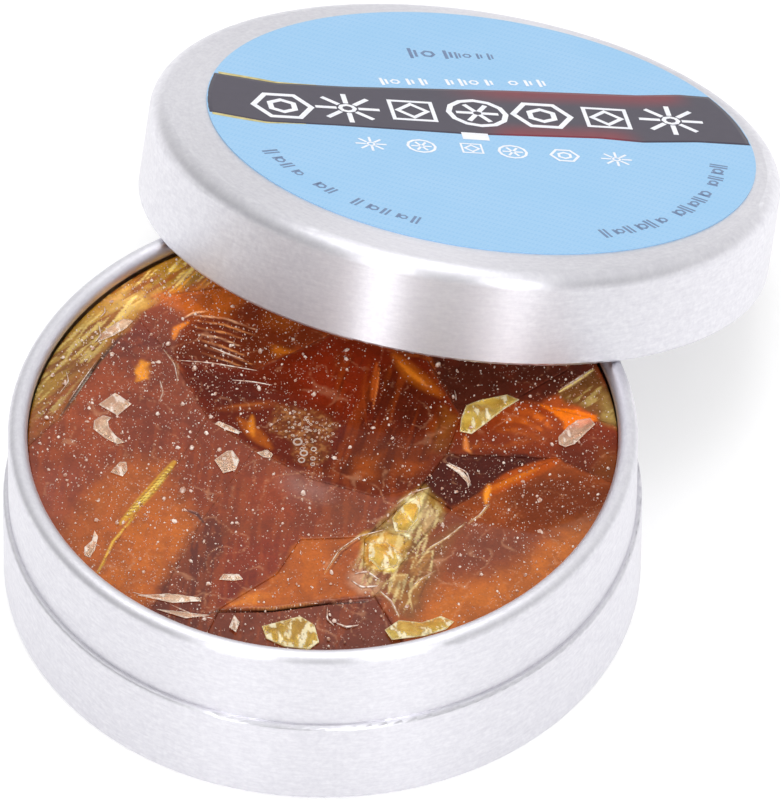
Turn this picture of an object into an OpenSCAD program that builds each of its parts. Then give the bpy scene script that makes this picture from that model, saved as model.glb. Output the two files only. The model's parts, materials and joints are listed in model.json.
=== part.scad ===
// Round slip-lid tin of cast rosin, open, with its lid leaning on the back of the rim.
// Millimetres, +Z up. The origin is the centre of the tin's base, and the lid leans towards +Y.

/* [Tin] */
// Outside diameter of the tin's body
tin_d = 52; // [50:0.5:56]
// Height from the base to the top of the rolled rim
tin_h = 16.2; // [15.8:0.1:17]
// Height of the shoulder that the closed lid stops on
shoulder_h = 8.6; // [8:0.1:10]
// How far the neck steps in from the body, on the radius
neck_step = 0.45; // [0.35:0.05:0.5]
// Radius of the rolled rim's section
curl_r = 0.8; // [0.7:0.02:0.9]
// Thickness of the aluminium sheet
sheet_t = 0.35; // [0.3:0.01:0.4]
// Radius of the tin's bottom corner
foot_r = 0.5; // [0.45:0.05:1]
// Radius of the shoulder's outer corner
shoulder_r = 0.3; // [0.2:0.05:0.35]

/* [Lid] */
// Height of the lid
lid_h = 8.2; // [7.8:0.1:8.6]
// Radius of the lid's top corner
crown_r = 1.3; // [0.8:0.1:1.6]
// Radius of the rolled hem round the skirt's lower edge
hem_r = 0.3; // [0.25:0.01:0.35]
// Radial room between the hem and the neck
lid_fit = 0.05; // [0.03:0.01:0.1]

/* [Label] */
// Diameter of the paper label
label_d = 45.6; // [43:0.2:46.4]
// Thickness of the label
label_t = 0.1; // [0.08:0.01:0.15]
// How far the label was stuck off the lid's centre, across and along
label_shift = [0.8, 1.3];

/* [Lean] */
// Level distance from the lid's edge on the table to the two places where it lies on the rim
lean_reach = 39.7; // [39.5:0.1:40.6]
// Room left between the lid and the rim it lies on
lean_gap = 0.06; // [0.05:0.01:0.2]
// Room left between the lid and the table
table_gap = 0.02; // [0:0.01:0.05]

/* [Rosin] */
// Height of the cake's top face above the base
cake_top = 14.9; // [14.5:0.05:15]
// Width of the cracks between the cake's fragments
crack_w = 0.08; // [0.05:0.01:0.15]
// Room between the cake and the sheet
cake_gap = 0.03; // [0.02:0.01:0.05]

/* [Hidden] */
$fn = 96;

body_r = tin_d / 2;
neck_r = body_r - neck_step;
curl_z = tin_h - curl_r;               // centre of the rolled rim's section
curl_ring_r = neck_r - curl_r;
curl_hole_r = curl_r - sheet_t;
curl_slot = 0.25;                      // the roll's free edge stops this far from the neck
lid_r = neck_r + lid_fit + 2 * hem_r;
hem_ring_r = lid_r - hem_r;
plan = tin_d / 52;                     // the cracks and chips follow the tin's diameter

// The lid stands on the table at its far edge and lies on the rim at two places. Each pass turns
// the rolls' sizes into a height with the tilt found so far, and the second is exact enough.
reach = plan * lean_reach;
function lean_at(tilt) =
    atan((curl_z + (curl_r + hem_r + lean_gap) / cos(tilt) - hem_r - table_gap) / reach);
lean_tilt = lean_at(lean_at(0));
hem_half_y = hem_ring_r * cos(lean_tilt);
touch_x = hem_ring_r * sqrt(1 - pow((hem_half_y - reach) / hem_half_y, 2));
touch_y = sqrt(curl_ring_r * curl_ring_r - touch_x * touch_x);
lid_y = touch_y + reach - hem_half_y;
lid_z = hem_r + table_gap + hem_ring_r * sin(lean_tilt);

// Colours
c_sheet = "silver";
c_label = "lightskyblue";
c_dark = [0.24, 0.08, 0.05];
c_brown = [0.42, 0.16, 0.09];
c_red = [0.50, 0.19, 0.08];
c_orange = [0.68, 0.32, 0.10];
c_olive = [0.52, 0.38, 0.14];
c_yellow = [0.74, 0.66, 0.25];
c_clear = [0.80, 0.72, 0.60];

// Places beyond the wall where cracks run out, going round from the back left
o_back_left = [-11.6, 29.9];
o_back = [-1.4, 29.9];
o_back_right = [18.3, 26];
o_right_a = [29.9, 9.1];
o_right_b = [29.9, 2.4];
o_front_right = [20.2, -25];
o_front = [-1.4, -29.9];
o_front_left_a = [-6.9, -29.9];
o_front_left_b = [-12.3, -29.9];
o_left = [-27.9, -13.5];

// Corners where cracks meet or turn
k_a = [-13, 13.5];
k_b = [-17.5, 10.8];
k_c = [-19, 7.5];
k_d = [-20.1, 2.9];
k_e = [-20.5, -4.3];
k_f = [-22.1, -9.1];
k_g = [-14.8, 4.4];
k_h = [-9.6, -1];
k_i = [-4.8, -3];
k_j = [0.6, -4.4];
k_k = [6.4, -4.4];
k_l = [9.2, -2.1];
k_m = [9.9, 2.1];
k_n = [9.6, 6.4];
k_o = [4.6, 11.6];
k_p = [-3.4, 11.4];
k_q = [-7.9, 5.2];
k_r = [12.8, 9.6];
k_s = [19.8, 10];
k_t = [15.8, 14.4];
k_u = [18.6, 4.8];
k_v = [14.4, 0];
k_w = [12.5, -3.4];
k_x = [11.3, -7.3];
k_y = [10.5, -11.7];
k_z = [9.9, -14.6];
m_a = [13.7, -18.5];
m_b = [2.7, -18.9];
m_c = [-1.3, -20.4];
m_d = [1.7, -15.2];
m_e = [2.1, -11];
m_f = [6.9, -8.9];
m_g = [8, -12.3];
m_h = [-6, -11.6];
m_i = [-6.2, -20.2];
m_j = [-11.8, -19.1];
m_k = [-11.2, -11.6];
m_l = [-10.1, -6.7];

function unit(v) = v / norm(v);
function turned(v) = [-v[1], v[0]];
function twice_area(p) = let (n = len(p))
    [for (i = [0 : n - 1]) cross(p[i], p[(i + 1) % n])] * [for (i = [0 : n - 1]) 1];

// The outline moved in by g along every edge
function inset(p, g) =
    let (n = len(p), side = sign(twice_area(p)))
    [for (i = [0 : n - 1])
        let (before = turned(unit(p[i] - p[(i + n - 1) % n])),
             after = turned(unit(p[(i + 1) % n] - p[i])))
        p[i] + side * g * (before + after) / (1 + before * after)];

// A round corner's section: a bar of the height of its radius, ending in a quarter circle
module round_bar(r, z, corner) {
    translate([0, z]) square([r - corner, 2 * corner]);
    translate([r - corner, z + corner]) circle(r = corner);
}

module cup_outside() {
    round_bar(body_r, 0, foot_r);
    translate([0, foot_r]) square([body_r, shoulder_h - shoulder_r - foot_r]);
    round_bar(body_r, shoulder_h - 2 * shoulder_r, shoulder_r);
    square([neck_r, curl_z]);
}

module cup_inside() {
    corner = foot_r - sheet_t;
    inside_r = body_r - sheet_t;
    round_bar(inside_r, sheet_t, corner);
    translate([0, sheet_t + corner]) square([inside_r, shoulder_h - 2 * sheet_t - corner]);
    translate([0, foot_r]) square([neck_r - sheet_t, tin_h]);
}

module tin_cup() {
    color(c_sheet) rotate_extrude() {
        difference() {
            cup_outside();
            cup_inside();
        }
        difference() {
            translate([curl_ring_r, curl_z]) circle(r = curl_r);
            translate([curl_ring_r, curl_z]) circle(r = curl_hole_r);
            translate([neck_r - sheet_t - curl_slot, curl_z - 2 * curl_r])
                square([curl_slot, 2 * curl_r]);
        }
    }
}

// The whole cake before it cracked: it fills the tin, and its top lies within the rolled rim.
module cake(drop) {
    floor_z = sheet_t + cake_gap;
    translate([0, 0, floor_z])
        cylinder(r = body_r - foot_r - cake_gap, h = shoulder_h - 2 * sheet_t - floor_z);
    translate([0, 0, floor_z])
        cylinder(r = neck_r - sheet_t - cake_gap, h = curl_z - curl_r - cake_gap - floor_z);
    translate([0, 0, floor_z])
        cylinder(r = curl_ring_r - curl_r - cake_gap, h = cake_top - drop - floor_z);
}

module fragment(outline, drop = 0) {
    intersection() {
        cake(drop);
        linear_extrude(height = tin_h) polygon(inset(plan * outline, crack_w / 2));
    }
}

module rosin_left_rim() {
    color(c_olive)
        fragment([o_left, k_f, k_e, k_d, k_c, k_b, k_a, o_back_left, [-32.7, 19.3]], 0.15);
}
module rosin_back_left() {
    color(c_red) fragment([k_a, k_b, k_c, k_g, k_q, k_p, o_back, o_back_left]);
}
module rosin_centre() {
    color(c_dark) fragment([k_q, k_g, k_h, k_i, k_j, k_k, k_l, k_m, k_n, k_o, k_p]);
}
module rosin_back() {
    color(c_dark) fragment([k_p, k_o, k_n, k_r, k_t, o_back_right, o_back], 0.05);
}
module rosin_back_right() {
    color(c_olive) fragment([k_r, k_s, o_right_a, [29.9, 26], o_back_right, k_t], 0.2);
}
module rosin_right() {
    color(c_red) fragment([k_n, k_m, k_u, o_right_b, o_right_a, k_s, k_r], 0.05);
}
module rosin_dark_wedge() {
    color(c_dark) fragment([k_m, k_l, k_w, k_v, k_u], 0.1);
}
module rosin_right_front() {
    color(c_orange)
        fragment([k_u, k_v, k_w, k_x, k_y, k_z, m_a, o_front_right, [29.9, -19.3], o_right_b]);
}
module rosin_crush_wedge() {
    color(c_yellow) fragment([k_l, m_f, m_g, k_z, k_y, k_x, k_w], 0.3);
}
module rosin_left() {
    color(c_brown)
        fragment([k_c, k_d, k_e, k_f, o_left, [-27.9, -29.9], o_front_left_b, m_j, m_k, m_l, k_h, k_g]);
}
module rosin_front_left() {
    color(c_orange)
        fragment([k_h, m_l, m_k, m_j, o_front_left_b, o_front_left_a, m_i, m_h, k_i]);
}
module rosin_front() {
    color(c_brown)
        fragment([k_i, m_h, m_i, o_front_left_a, o_front, m_c, m_d, m_e, m_f, k_l, k_k, k_j]);
}
module rosin_front_orange() {
    color(c_orange) fragment([m_e, m_d, m_c, m_b, k_z, m_g, m_f], 0.05);
}
module rosin_front_edge() {
    color(c_brown) fragment([m_c, o_front, [20.2, -29.9], o_front_right, m_a, k_z, m_b], 0.15);
}

// A loose chip: its outline about the place it lies at, narrowing upwards
module chip(place, outline, thick, drop = 0, narrow = 0.8) {
    translate([plan * place[0], plan * place[1], cake_top - drop])
        linear_extrude(height = thick, scale = narrow) polygon(outline);
}

module chip_crescent() {
    color(c_clear) chip([-16.6, -5.1], [[-1, 1.3], [-1.5, 0.5], [-1.2, -0.4], [0, -1],
        [1.2, -1.3], [1.7, -0.9], [0.8, -0.5], [0, 0.1], [-0.4, 0.8], [-0.3, 1.3]], 0.35);
}
module chip_diamond() {
    color(c_clear) chip([-17.2, -2.3], [[-0.4, 1.2], [-1.2, -0.5], [0.7, -1.1], [1.3, 0.5]], 0.25);
}
module chip_slab() {
    color(c_clear) chip([-20, 5.9], [[0, 1.1], [-0.5, 0.2], [-1.1, -1.2], [-1, -2.1],
        [-0.1, -1], [1.1, 1], [0.7, 1.2]], 0.4, 0.15);
}
module chip_green_wedge() {
    color(c_yellow) chip([11.3, 7.4], [[-1.7, 0.2], [-1.6, -1.3], [-1.2, -2.7], [-0.2, -2.6],
        [0.6, -0.8], [1.3, 0.9], [2.1, 2.3], [1, 2.5], [-0.8, 1.2]], 0.9, 0.05, 0.6);
}
module chip_pebble() {
    color(c_clear) chip([18.9, 7.9], [[-1.1, -1], [-0.8, -1.7], [-0.2, -1.8], [0.4, -1.2],
        [0.8, 0.2], [1.2, 1.4], [0.6, 1.9], [-0.3, 1.3], [-0.8, 0.2]], 0.8, 0.05, 0.7);
}
module chip_yellow_lump() {
    color(c_yellow) chip([5.1, -20.6], [[-2.5, -0.4], [-1.7, -1.5], [0, -1.8], [1.9, -1.4],
        [2.4, -0.4], [1.4, 1.2], [0, 1.7], [-0.8, 1]], 1.3, 0.15, 0.65);
}
module chip_flat_green() {
    color(c_yellow) chip([14.4, -16.8], [[-2.4, -1.2], [-1.5, -2], [0.8, -0.7], [2.2, 0.6],
        [2.5, 1.6], [1.3, 1.8], [0.1, 0.6], [-1.7, 0.2]], 0.7, 0, 0.7);
}
module chip_left_crumb() {
    color(c_clear)
        chip([-14.2, -8.8], [[-0.6, -0.7], [0.5, -0.8], [0.6, 0], [0.2, 0.8], [-0.3, 0.6]], 0.5);
}
module chip_centre_lump() {
    color(c_clear) chip([-6.3, -5.1], [[-1.1, -0.2], [0.1, -1.3], [0.9, -0.6], [0.8, 0.5],
        [-0.1, 1.3], [-0.5, 1.1]], 0.6, 0, 0.6);
}
module chip_splinter() {
    color(c_clear) chip([-7.6, -1.5], [[-1.2, 0], [-0.2, -0.3], [1, -0.4], [1.1, -0.1],
        [0.1, 0.2], [-1, 0.4]], 0.25);
}
module chip_small_flake() {
    color(c_clear)
        chip([-3.8, -3.1], [[-0.7, -0.2], [0, -0.5], [0.6, -0.4], [0.6, 0.1], [0, 0.4]], 0.3);
}
module chip_clear_front() {
    color(c_clear) chip([-13.4, -17.4], [[-0.4, -0.6], [-0.1, -1.4], [0.4, -1.5], [0.5, -0.5],
        [0.2, 0.9], [-0.3, 1.4], [-0.1, 0.3]], 0.4);
}
module chip_flat_front() {
    color(c_yellow)
        chip([-1.6, -16.9], [[-0.8, -0.6], [0.3, -0.3], [1, 0.1], [0.5, 0.5], [-0.7, 0.1]], 0.35);
}
module chip_front_splinters() {
    color(c_clear) {
        chip([-5.4, -20.7], [[-2.6, -0.7], [0.4, -0.5], [2.5, 0.5], [2.2, 0.8], [-0.2, 0.3]], 0.5);
        chip([-3.9, -21.9], [[-2.1, -0.4], [0.5, -0.5], [2.2, 0.5], [0.3, 0.1]], 0.4);
        chip([0.6, -21.6], [[-0.4, -0.5], [0.3, -0.8], [0.2, 0.3], [-0.5, 0.9]], 0.4);
    }
}
module chip_upper_shard() {
    color(c_yellow) chip([9.3, -5.2], [[-1.1, -0.8], [-0.4, -2.1], [0.6, -1.8], [0.9, -0.2],
        [0.6, 1.2], [0.2, 2.2], [-0.7, 0.8]], 0.8, 0.3, 0.55);
}
module chip_lower_shard() {
    color(c_yellow) chip([9, -10.2], [[-1.6, 0.9], [-1, -0.7], [0.3, -1.5], [1.4, -0.6],
        [1.3, 0.7], [-0.3, 1.5]], 0.8, 0.3, 0.55);
}
module chip_curved_sliver() {
    color(c_clear) chip([11.6, 0.4], [[-1.3, 0.5], [-0.1, 0], [0.9, -0.7], [1.3, -1.3],
        [1.2, -0.5], [0.1, 0.4], [-1.1, 0.8]], 0.2, 0.1);
}

// Small crumbs that lie about on the cake: place, size across
crumbs = [
    [[-15.5, 5.5], 0.5], [[-12.5, 3.7], 0.5], [[-6.8, 3.4], 0.6], [[-2.4, 4.4], 0.45],
    [[-8.2, 7.4], 0.5], [[-0.8, 7.9], 0.35], [[5.9, 11], 0.6], [[-12, -0.4], 0.4],
    [[-13.5, -2.1], 0.4], [[-9.6, -4.7], 0.5], [[-8.6, -9.3], 0.6], [[12.4, -5.5], 0.4],
    [[5.8, -13.6], 0.5], [[-21.8, -1.5], 0.5], [[2.4, -0.1], 0.35], [[-12.3, -14.6], 0.4],
    [[0.6, -6.2], 0.5], [[-18.1, -11.1], 0.4], [[8.3, 8.1], 0.4], [[20.5, -8.4], 0.4]
];
module rosin_crumbs() {
    color(c_clear)
        for (i = [0 : len(crumbs) - 1])
            translate([plan * crumbs[i][0][0], plan * crumbs[i][0][1], cake_top])
                rotate(50 * i) cylinder(d = crumbs[i][1], h = 0.6 * crumbs[i][1], $fn = 5);
}

// Puts what is drawn on the lid's own axes, with its lower edge at z = 0, where the lid leans.
module leaning() {
    translate([0, lid_y, lid_z]) rotate([-lean_tilt, 0, 0]) translate([0, 0, -hem_r]) children();
}

module lid_shell() {
    inside_r = lid_r - sheet_t;
    inside_corner = crown_r - sheet_t;
    color(c_sheet) leaning() rotate_extrude() {
        difference() {
            union() {
                translate([0, hem_r]) square([lid_r, lid_h - crown_r - hem_r]);
                round_bar(lid_r, lid_h - 2 * crown_r, crown_r);
            }
            translate([0, -1]) square([inside_r, 1 + lid_h - sheet_t - inside_corner]);
            round_bar(inside_r, lid_h - sheet_t - 2 * inside_corner, inside_corner);
        }
        translate([hem_ring_r, hem_r]) circle(r = hem_r);
    }
}

module lid_label() {
    color(c_label) leaning() translate([label_shift[0], label_shift[1], lid_h])
        linear_extrude(height = label_t) circle(d = label_d);
}

tin_cup();
rosin_left_rim();
rosin_back_left();
rosin_centre();
rosin_back();
rosin_back_right();
rosin_right();
rosin_dark_wedge();
rosin_right_front();
rosin_crush_wedge();
rosin_left();
rosin_front_left();
rosin_front();
rosin_front_orange();
rosin_front_edge();
chip_crescent();
chip_diamond();
chip_slab();
chip_green_wedge();
chip_pebble();
chip_yellow_lump();
chip_flat_green();
chip_left_crumb();
chip_centre_lump();
chip_splinter();
chip_small_flake();
chip_clear_front();
chip_flat_front();
chip_front_splinters();
chip_upper_shard();
chip_lower_shard();
chip_curved_sliver();
rosin_crumbs();
lid_shell();
lid_label();
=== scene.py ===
"""Looks for the open tin of rosin: brushed aluminium, a printed label and a cracked amber cake."""
import json
import math

import bmesh
import bpy
import numpy as np
from mathutils import Matrix, Vector
from mathutils.geometry import delaunay_2d_cdt


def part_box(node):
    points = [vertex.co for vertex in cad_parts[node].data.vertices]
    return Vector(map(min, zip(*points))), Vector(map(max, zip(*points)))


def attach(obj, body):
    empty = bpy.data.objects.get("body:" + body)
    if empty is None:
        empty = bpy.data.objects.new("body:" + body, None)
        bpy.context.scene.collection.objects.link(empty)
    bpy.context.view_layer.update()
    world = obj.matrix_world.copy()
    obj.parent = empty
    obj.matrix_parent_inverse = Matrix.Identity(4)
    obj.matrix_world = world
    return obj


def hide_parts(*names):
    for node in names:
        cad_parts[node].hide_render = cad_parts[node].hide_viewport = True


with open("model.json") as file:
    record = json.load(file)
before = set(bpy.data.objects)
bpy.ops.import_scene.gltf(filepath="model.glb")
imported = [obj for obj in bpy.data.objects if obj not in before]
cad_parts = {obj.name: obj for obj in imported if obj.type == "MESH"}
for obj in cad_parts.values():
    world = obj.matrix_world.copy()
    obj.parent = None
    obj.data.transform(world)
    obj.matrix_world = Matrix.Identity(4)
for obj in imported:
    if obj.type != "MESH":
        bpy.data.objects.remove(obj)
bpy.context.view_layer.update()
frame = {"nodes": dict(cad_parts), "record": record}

MM = 0.001
TIN = "tin"
LID = "lid"
FRAGMENTS = [n for n in frame["record"]["behaviour"]["bodies"][TIN]
             if n.startswith("rosin_") and n != "rosin_crumbs"]
CHIPS = [n for n in frame["record"]["behaviour"]["bodies"][TIN] if n.startswith("chip_")]
SLOT_OF = {s["node"]: s["material_slot"] for s in frame["record"]["subparts"]}

# the camera, in millimetres and degrees
CAMERA_LENS = 812.7
CAMERA_DISTANCE = 1478.0
CAMERA_ELEVATION = 46.648
CAMERA_AZIMUTH = 19.934
CAMERA_ROLL = 0.469
CAMERA_TARGET = (0.998, 13.252, 6.74)
CAMERA_SENSOR = 36.0

# the studio's reach, lamps and light, in metres and watts
CAMERA_FAR = 20.0
FLOOR_HALF = 2.0
FLOOR_GLOW = 0.46
WORLD_LIGHT = 0.9
DIM_LIGHT = 0.42
WORLD_LEAN = (0.12, 0.6, 1.0)
WORLD_ASIDE = (-0.32, 0.0, 0.0)
WORLD_DARKEST = -0.45
WORLD_BRIGHTEST = 0.95
KEY_PLACE = (-0.1, 0.15, 0.9)
KEY_SIZE = (0.6, 0.6)
KEY_POWER = 2.2
STRIP_TURNS = (("strip left", -7.0), ("strip right", 45.0))
STRIP_AWAY = 0.9
STRIP_HEIGHT = 0.5
STRIP_AIM = (0, 0.01, 0.015)
STRIP_SIZE = (0.09, 0.4)
STRIP_POWER = 2.3

# the metal's grain, as places of noise for each metre across and along it
GRAIN_ACROSS = 900.0
GRAIN_ALONG = (5.0, 5.0, 5.0)

# the cake, in millimetres
GRID = 0.14
CAKE_R = 23.92
CRACK_GAP = 0.037
WAVE = 0.04
SKIN = 0.03
DEEPEST_DIP = 0.4
GLOSS = 0.58
BROKEN_GLOSS = 0.07
FLECK_SHARE = 0.55
BROKEN_FACE = [(-14.8, 4.5), (-9.6, -1), (-4.8, -3), (0.6, -4.4), (6.4, -4.4), (9.2, -3.4), (14.3, -4.3),
               (19.6, -3.8), (22.4, -1), (26, 4), (26, 26), (-14, 26), (-15, 10)]

# chips, dust and bubbles, in millimetres
CHIP_GRID = 0.12
CHIP_LIFT = 0.004
RIM_WIDTH = 0.16
TRANSMISSION = 0.98
FIRST_CHIP_SEED = 100
DUST_COUNT = 6800
DUST_MARGIN = 0.4
DUST_SMALLEST = 0.05
DUST_LARGEST = 0.5
DUST_SUNK = 0.07
BUBBLE_SUNK = 0.02
RIBBON_TAPER = 0.85
GLINT_RISE = 0.05

# the label, in millimetres and degrees
BAND_TURN = 27.7
BAND_COLUMNS = 120
ORNAMENT = 2.7
SMALL_ORNAMENT = 1.3
WORDS_R = 19.7
BAND_HIGH = 0.008
ON_BAND = 0.009
ORNAMENT_HIGH = 0.02
MARK_HIGH = 0.016
INK_HIGH = 0.012


# ---------------------------------------------------------------- measuring the CAD

def node_points(name):
    """A CAD node's vertices in millimetres."""
    return np.array([v.co for v in frame["nodes"][name].data.vertices], float) / MM


def lid_axes():
    """The lid's own axes, with the origin at the centre of its top face, in millimetres."""
    label = node_points("lid_label")
    up = np.linalg.svd(label - label.mean(0), full_matrices=False)[2][2]
    up = up * np.sign(up[2])
    across = np.array([1.0, 0.0, 0.0])
    away = np.cross(up, across)
    axes = np.stack([across, away, up])
    lid = node_points("lid_shell") @ axes.T
    sticker = label @ axes.T
    middle = (lid.min(0) + lid.max(0)) / 2
    origin = axes.T @ np.array([middle[0], middle[1], lid[:, 2].max()])
    return {
        "axes": axes,
        "origin": origin,
        "label": ((sticker.min(0) + sticker.max(0)) / 2)[:2] - middle[:2],
        "label_r": (sticker[:, 0].max() - sticker[:, 0].min()) / 2,
        "label_top": sticker[:, 2].max() - lid[:, 2].max(),
    }


LID_AXES = lid_axes()
CAKE_TOP = max(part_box(n)[1].z for n in FRAGMENTS) / MM


def top_outline(name, at_bottom=False):
    """The outline of a CAD node's top face (or bottom face), anticlockwise, in millimetres."""
    bm = bmesh.new()
    bm.from_mesh(frame["nodes"][name].data)
    bmesh.ops.remove_doubles(bm, verts=bm.verts, dist=0.002 * MM)
    zs = [v.co.z for v in bm.verts]
    level = min(zs) if at_bottom else max(zs)
    flat = [f for f in bm.faces if all(abs(v.co.z - level) < 0.004 * MM for v in f.verts)]
    flat_set = set(flat)
    after = {}
    for face in flat:
        for loop in face.loops:
            if sum(f in flat_set for f in loop.edge.link_faces) == 1:
                after.setdefault(loop.vert.index, []).append(loop.link_loop_next.vert)
    loops = []
    bm.verts.ensure_lookup_table()
    while after:
        start = next(iter(after))
        at = start
        line = []
        while at in after:
            step = after[at].pop()
            if not after[at]:
                del after[at]
            line.append((step.co.x / MM, step.co.y / MM))
            at = step.index
        loops.append(np.array(line))
    bm.free()
    outlines = []
    for line in loops:
        x, y = line.T
        area = 0.5 * np.sum(x * np.roll(y, -1) - y * np.roll(x, -1))
        outlines.append(line if area > 0 else line[::-1])
    return outlines


# ---------------------------------------------------------------- numbers on a plane

def smooth(t):
    t = np.clip(t, 0.0, 1.0)
    return t * t * (3 - 2 * t)


def lattice(i, j, seed):
    """A repeatable number from 0 to 1 for each whole place."""
    n = (i * 374761393 + j * 668265263 + seed * 362437) & 0xFFFFFFFF
    n = ((n ^ (n >> 13)) * 1274126177) & 0xFFFFFFFF
    return ((n ^ (n >> 16)) & 0xFFFF) / 65535.0


def value_noise(x, y, seed):
    i = np.floor(x).astype(np.int64)
    j = np.floor(y).astype(np.int64)
    u = smooth(x - i)
    v = smooth(y - j)
    low = lattice(i, j, seed) * (1 - u) + lattice(i + 1, j, seed) * u
    high = lattice(i, j + 1, seed) * (1 - u) + lattice(i + 1, j + 1, seed) * u
    return low * (1 - v) + high * v


def clouds(x, y, seed, octaves=4):
    """Noise in several octaves, from about 0 to 1."""
    total = 0.0
    weight = 0.0
    for k in range(octaves):
        share = 0.55 ** k
        total = total + share * value_noise(x * 2 ** k + 17.3 * k, y * 2 ** k - 9.1 * k, seed + k)
        weight += share
    return total / weight


def turned(xy, degrees):
    """Coordinates along and across a direction."""
    c = math.cos(math.radians(degrees))
    s = math.sin(math.radians(degrees))
    return xy[:, 0] * c + xy[:, 1] * s, -xy[:, 0] * s + xy[:, 1] * c


def to_line(xy, points):
    """For each place, its distance from a polyline and how far along the nearest point is, 0 to 1."""
    points = np.array(points, float)
    lengths = np.linalg.norm(np.diff(points, axis=0), axis=1)
    starts = np.concatenate([[0], np.cumsum(lengths)])
    best = np.full(len(xy), 1e9)
    along = np.zeros(len(xy))
    for k in range(len(points) - 1):
        d = points[k + 1] - points[k]
        t = np.clip(((xy - points[k]) @ d) / max(d @ d, 1e-12), 0, 1)
        gap = np.linalg.norm(xy - points[k] - t[:, None] * d, axis=1)
        near = gap < best
        best[near] = gap[near]
        along[near] = (starts[k] + t[near] * lengths[k]) / starts[-1]
    return best, along


def depth_inside(xy, corners):
    """Distance inside a polygon, negative outside."""
    corners = np.array(corners, float)
    gap, _ = to_line(xy, np.vstack([corners, corners[:1]]))
    inside = np.zeros(len(xy), bool)
    for a, b in zip(corners, np.roll(corners, -1, axis=0)):
        crosses = (a[1] > xy[:, 1]) != (b[1] > xy[:, 1])
        if a[1] != b[1]:
            at = (b[0] - a[0]) * (xy[:, 1] - a[1]) / (b[1] - a[1]) + a[0]
            inside ^= crosses & (xy[:, 0] < at)
    return np.where(inside, gap, -gap)


def linear(colour):
    """A 0-255 colour as linear light."""
    c = np.array(colour, float) / 255
    return np.where(c <= 0.04045, c / 12.92, ((c + 0.055) / 1.055) ** 2.4)


class Paint:
    """Colours and depths laid over places on a plane, in painter's order."""

    def __init__(self, xy, colour):
        self.xy = xy
        wx = clouds(xy[:, 0] * 0.9, xy[:, 1] * 0.9, 31) - 0.5
        wy = clouds(xy[:, 0] * 0.9, xy[:, 1] * 0.9, 57) - 0.5
        self.bent = xy + 0.9 * np.stack([wx, wy], 1)
        self.rgb = np.tile(linear(colour), (len(xy), 1))
        self.dip = np.zeros(len(xy))

    def lay(self, mask, colour):
        mask = mask[:, None]
        self.rgb = self.rgb * (1 - mask) + linear(colour) * mask

    def area(self, corners, colour, soft=0.3, strength=1.0, texture=None):
        d = depth_inside(self.bent, corners)
        mask = smooth(d / soft * 0.5 + 0.5) * strength
        self.lay(mask if texture is None else mask * texture, colour)

    def stroke(self, points, width, colour, soft=0.1, strength=1.0, taper=0.0, dip=0.0,
               bent=False, texture=None):
        d, t = to_line(self.bent if bent else self.xy, points)
        half = 0.5 * width * (1 - taper * np.abs(2 * t - 1) ** 2)
        mask = smooth((half - d) / soft + 0.5) * strength
        if texture is not None:
            mask = mask * texture
        self.lay(mask, colour)
        self.dip += dip * mask

    def streaks(self, seed, degrees, length, fineness, low=0.55, high=0.75):
        """A texture of fine parallel streaks."""
        a, b = turned(self.xy, degrees)
        return smooth((clouds(a / length, b * fineness, seed, 3) - low) / (high - low))

    def patches(self, seed, size, low=0.45, high=0.6):
        n = clouds(self.xy[:, 0] / size, self.xy[:, 1] / size, seed)
        return smooth((n - low) / (high - low))


# ---------------------------------------------------------------- the cake's colours and relief

def paint_left(p):
    """The left third: wine-brown, with a cracked crescent of olive glass along the rim."""
    p.area([(-26, 6), (-19, 7), (-14, 5), (-9, -1), (-4, -4), (-5, -11), (-10, -25), (-26, -25)],
           (124, 50, 22), 1.5)
    p.area([(-21, 3), (-17, 2), (-16.5, -4), (-17.5, -9), (-22, -9)], (146, 62, 26), 2.5, 0.9)
    p.area([(-19.5, 7.5), (-15.5, 7), (-14.6, 4.4), (-17.5, 3.4), (-19.8, 3)], (98, 36, 22), 1.2)
    p.area([(-15, 0), (-9, -3), (-8, -8), (-13, -8), (-16, -4)], (128, 52, 26), 2.5, 0.8)
    p.lay(p.patches(5, 2.6) * 0.35 * (p.xy[:, 0] < -8), (96, 34, 18))
    p.lay(p.patches(6, 1.3, 0.55, 0.7) * 0.3 * (p.xy[:, 0] < -8), (158, 72, 36))
    p.area([(-15.6, -11), (-13.8, -7.6), (-11, -6.6), (-9.6, -9), (-6, -11.5), (-5.6, -14),
            (-6.6, -22), (-9, -24), (-14, -21), (-16.5, -17)], (168, 84, 26), 1.6)
    p.area([(-11.4, -12), (-8.3, -11.4), (-6, -12), (-6.1, -15), (-7.2, -23), (-11.6, -22)],
           (180, 92, 24), 0.8)
    p.area([(-21, -11), (-16.5, -10), (-16.5, -16), (-21, -18)], (140, 64, 42), 1.8, 0.9)


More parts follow.
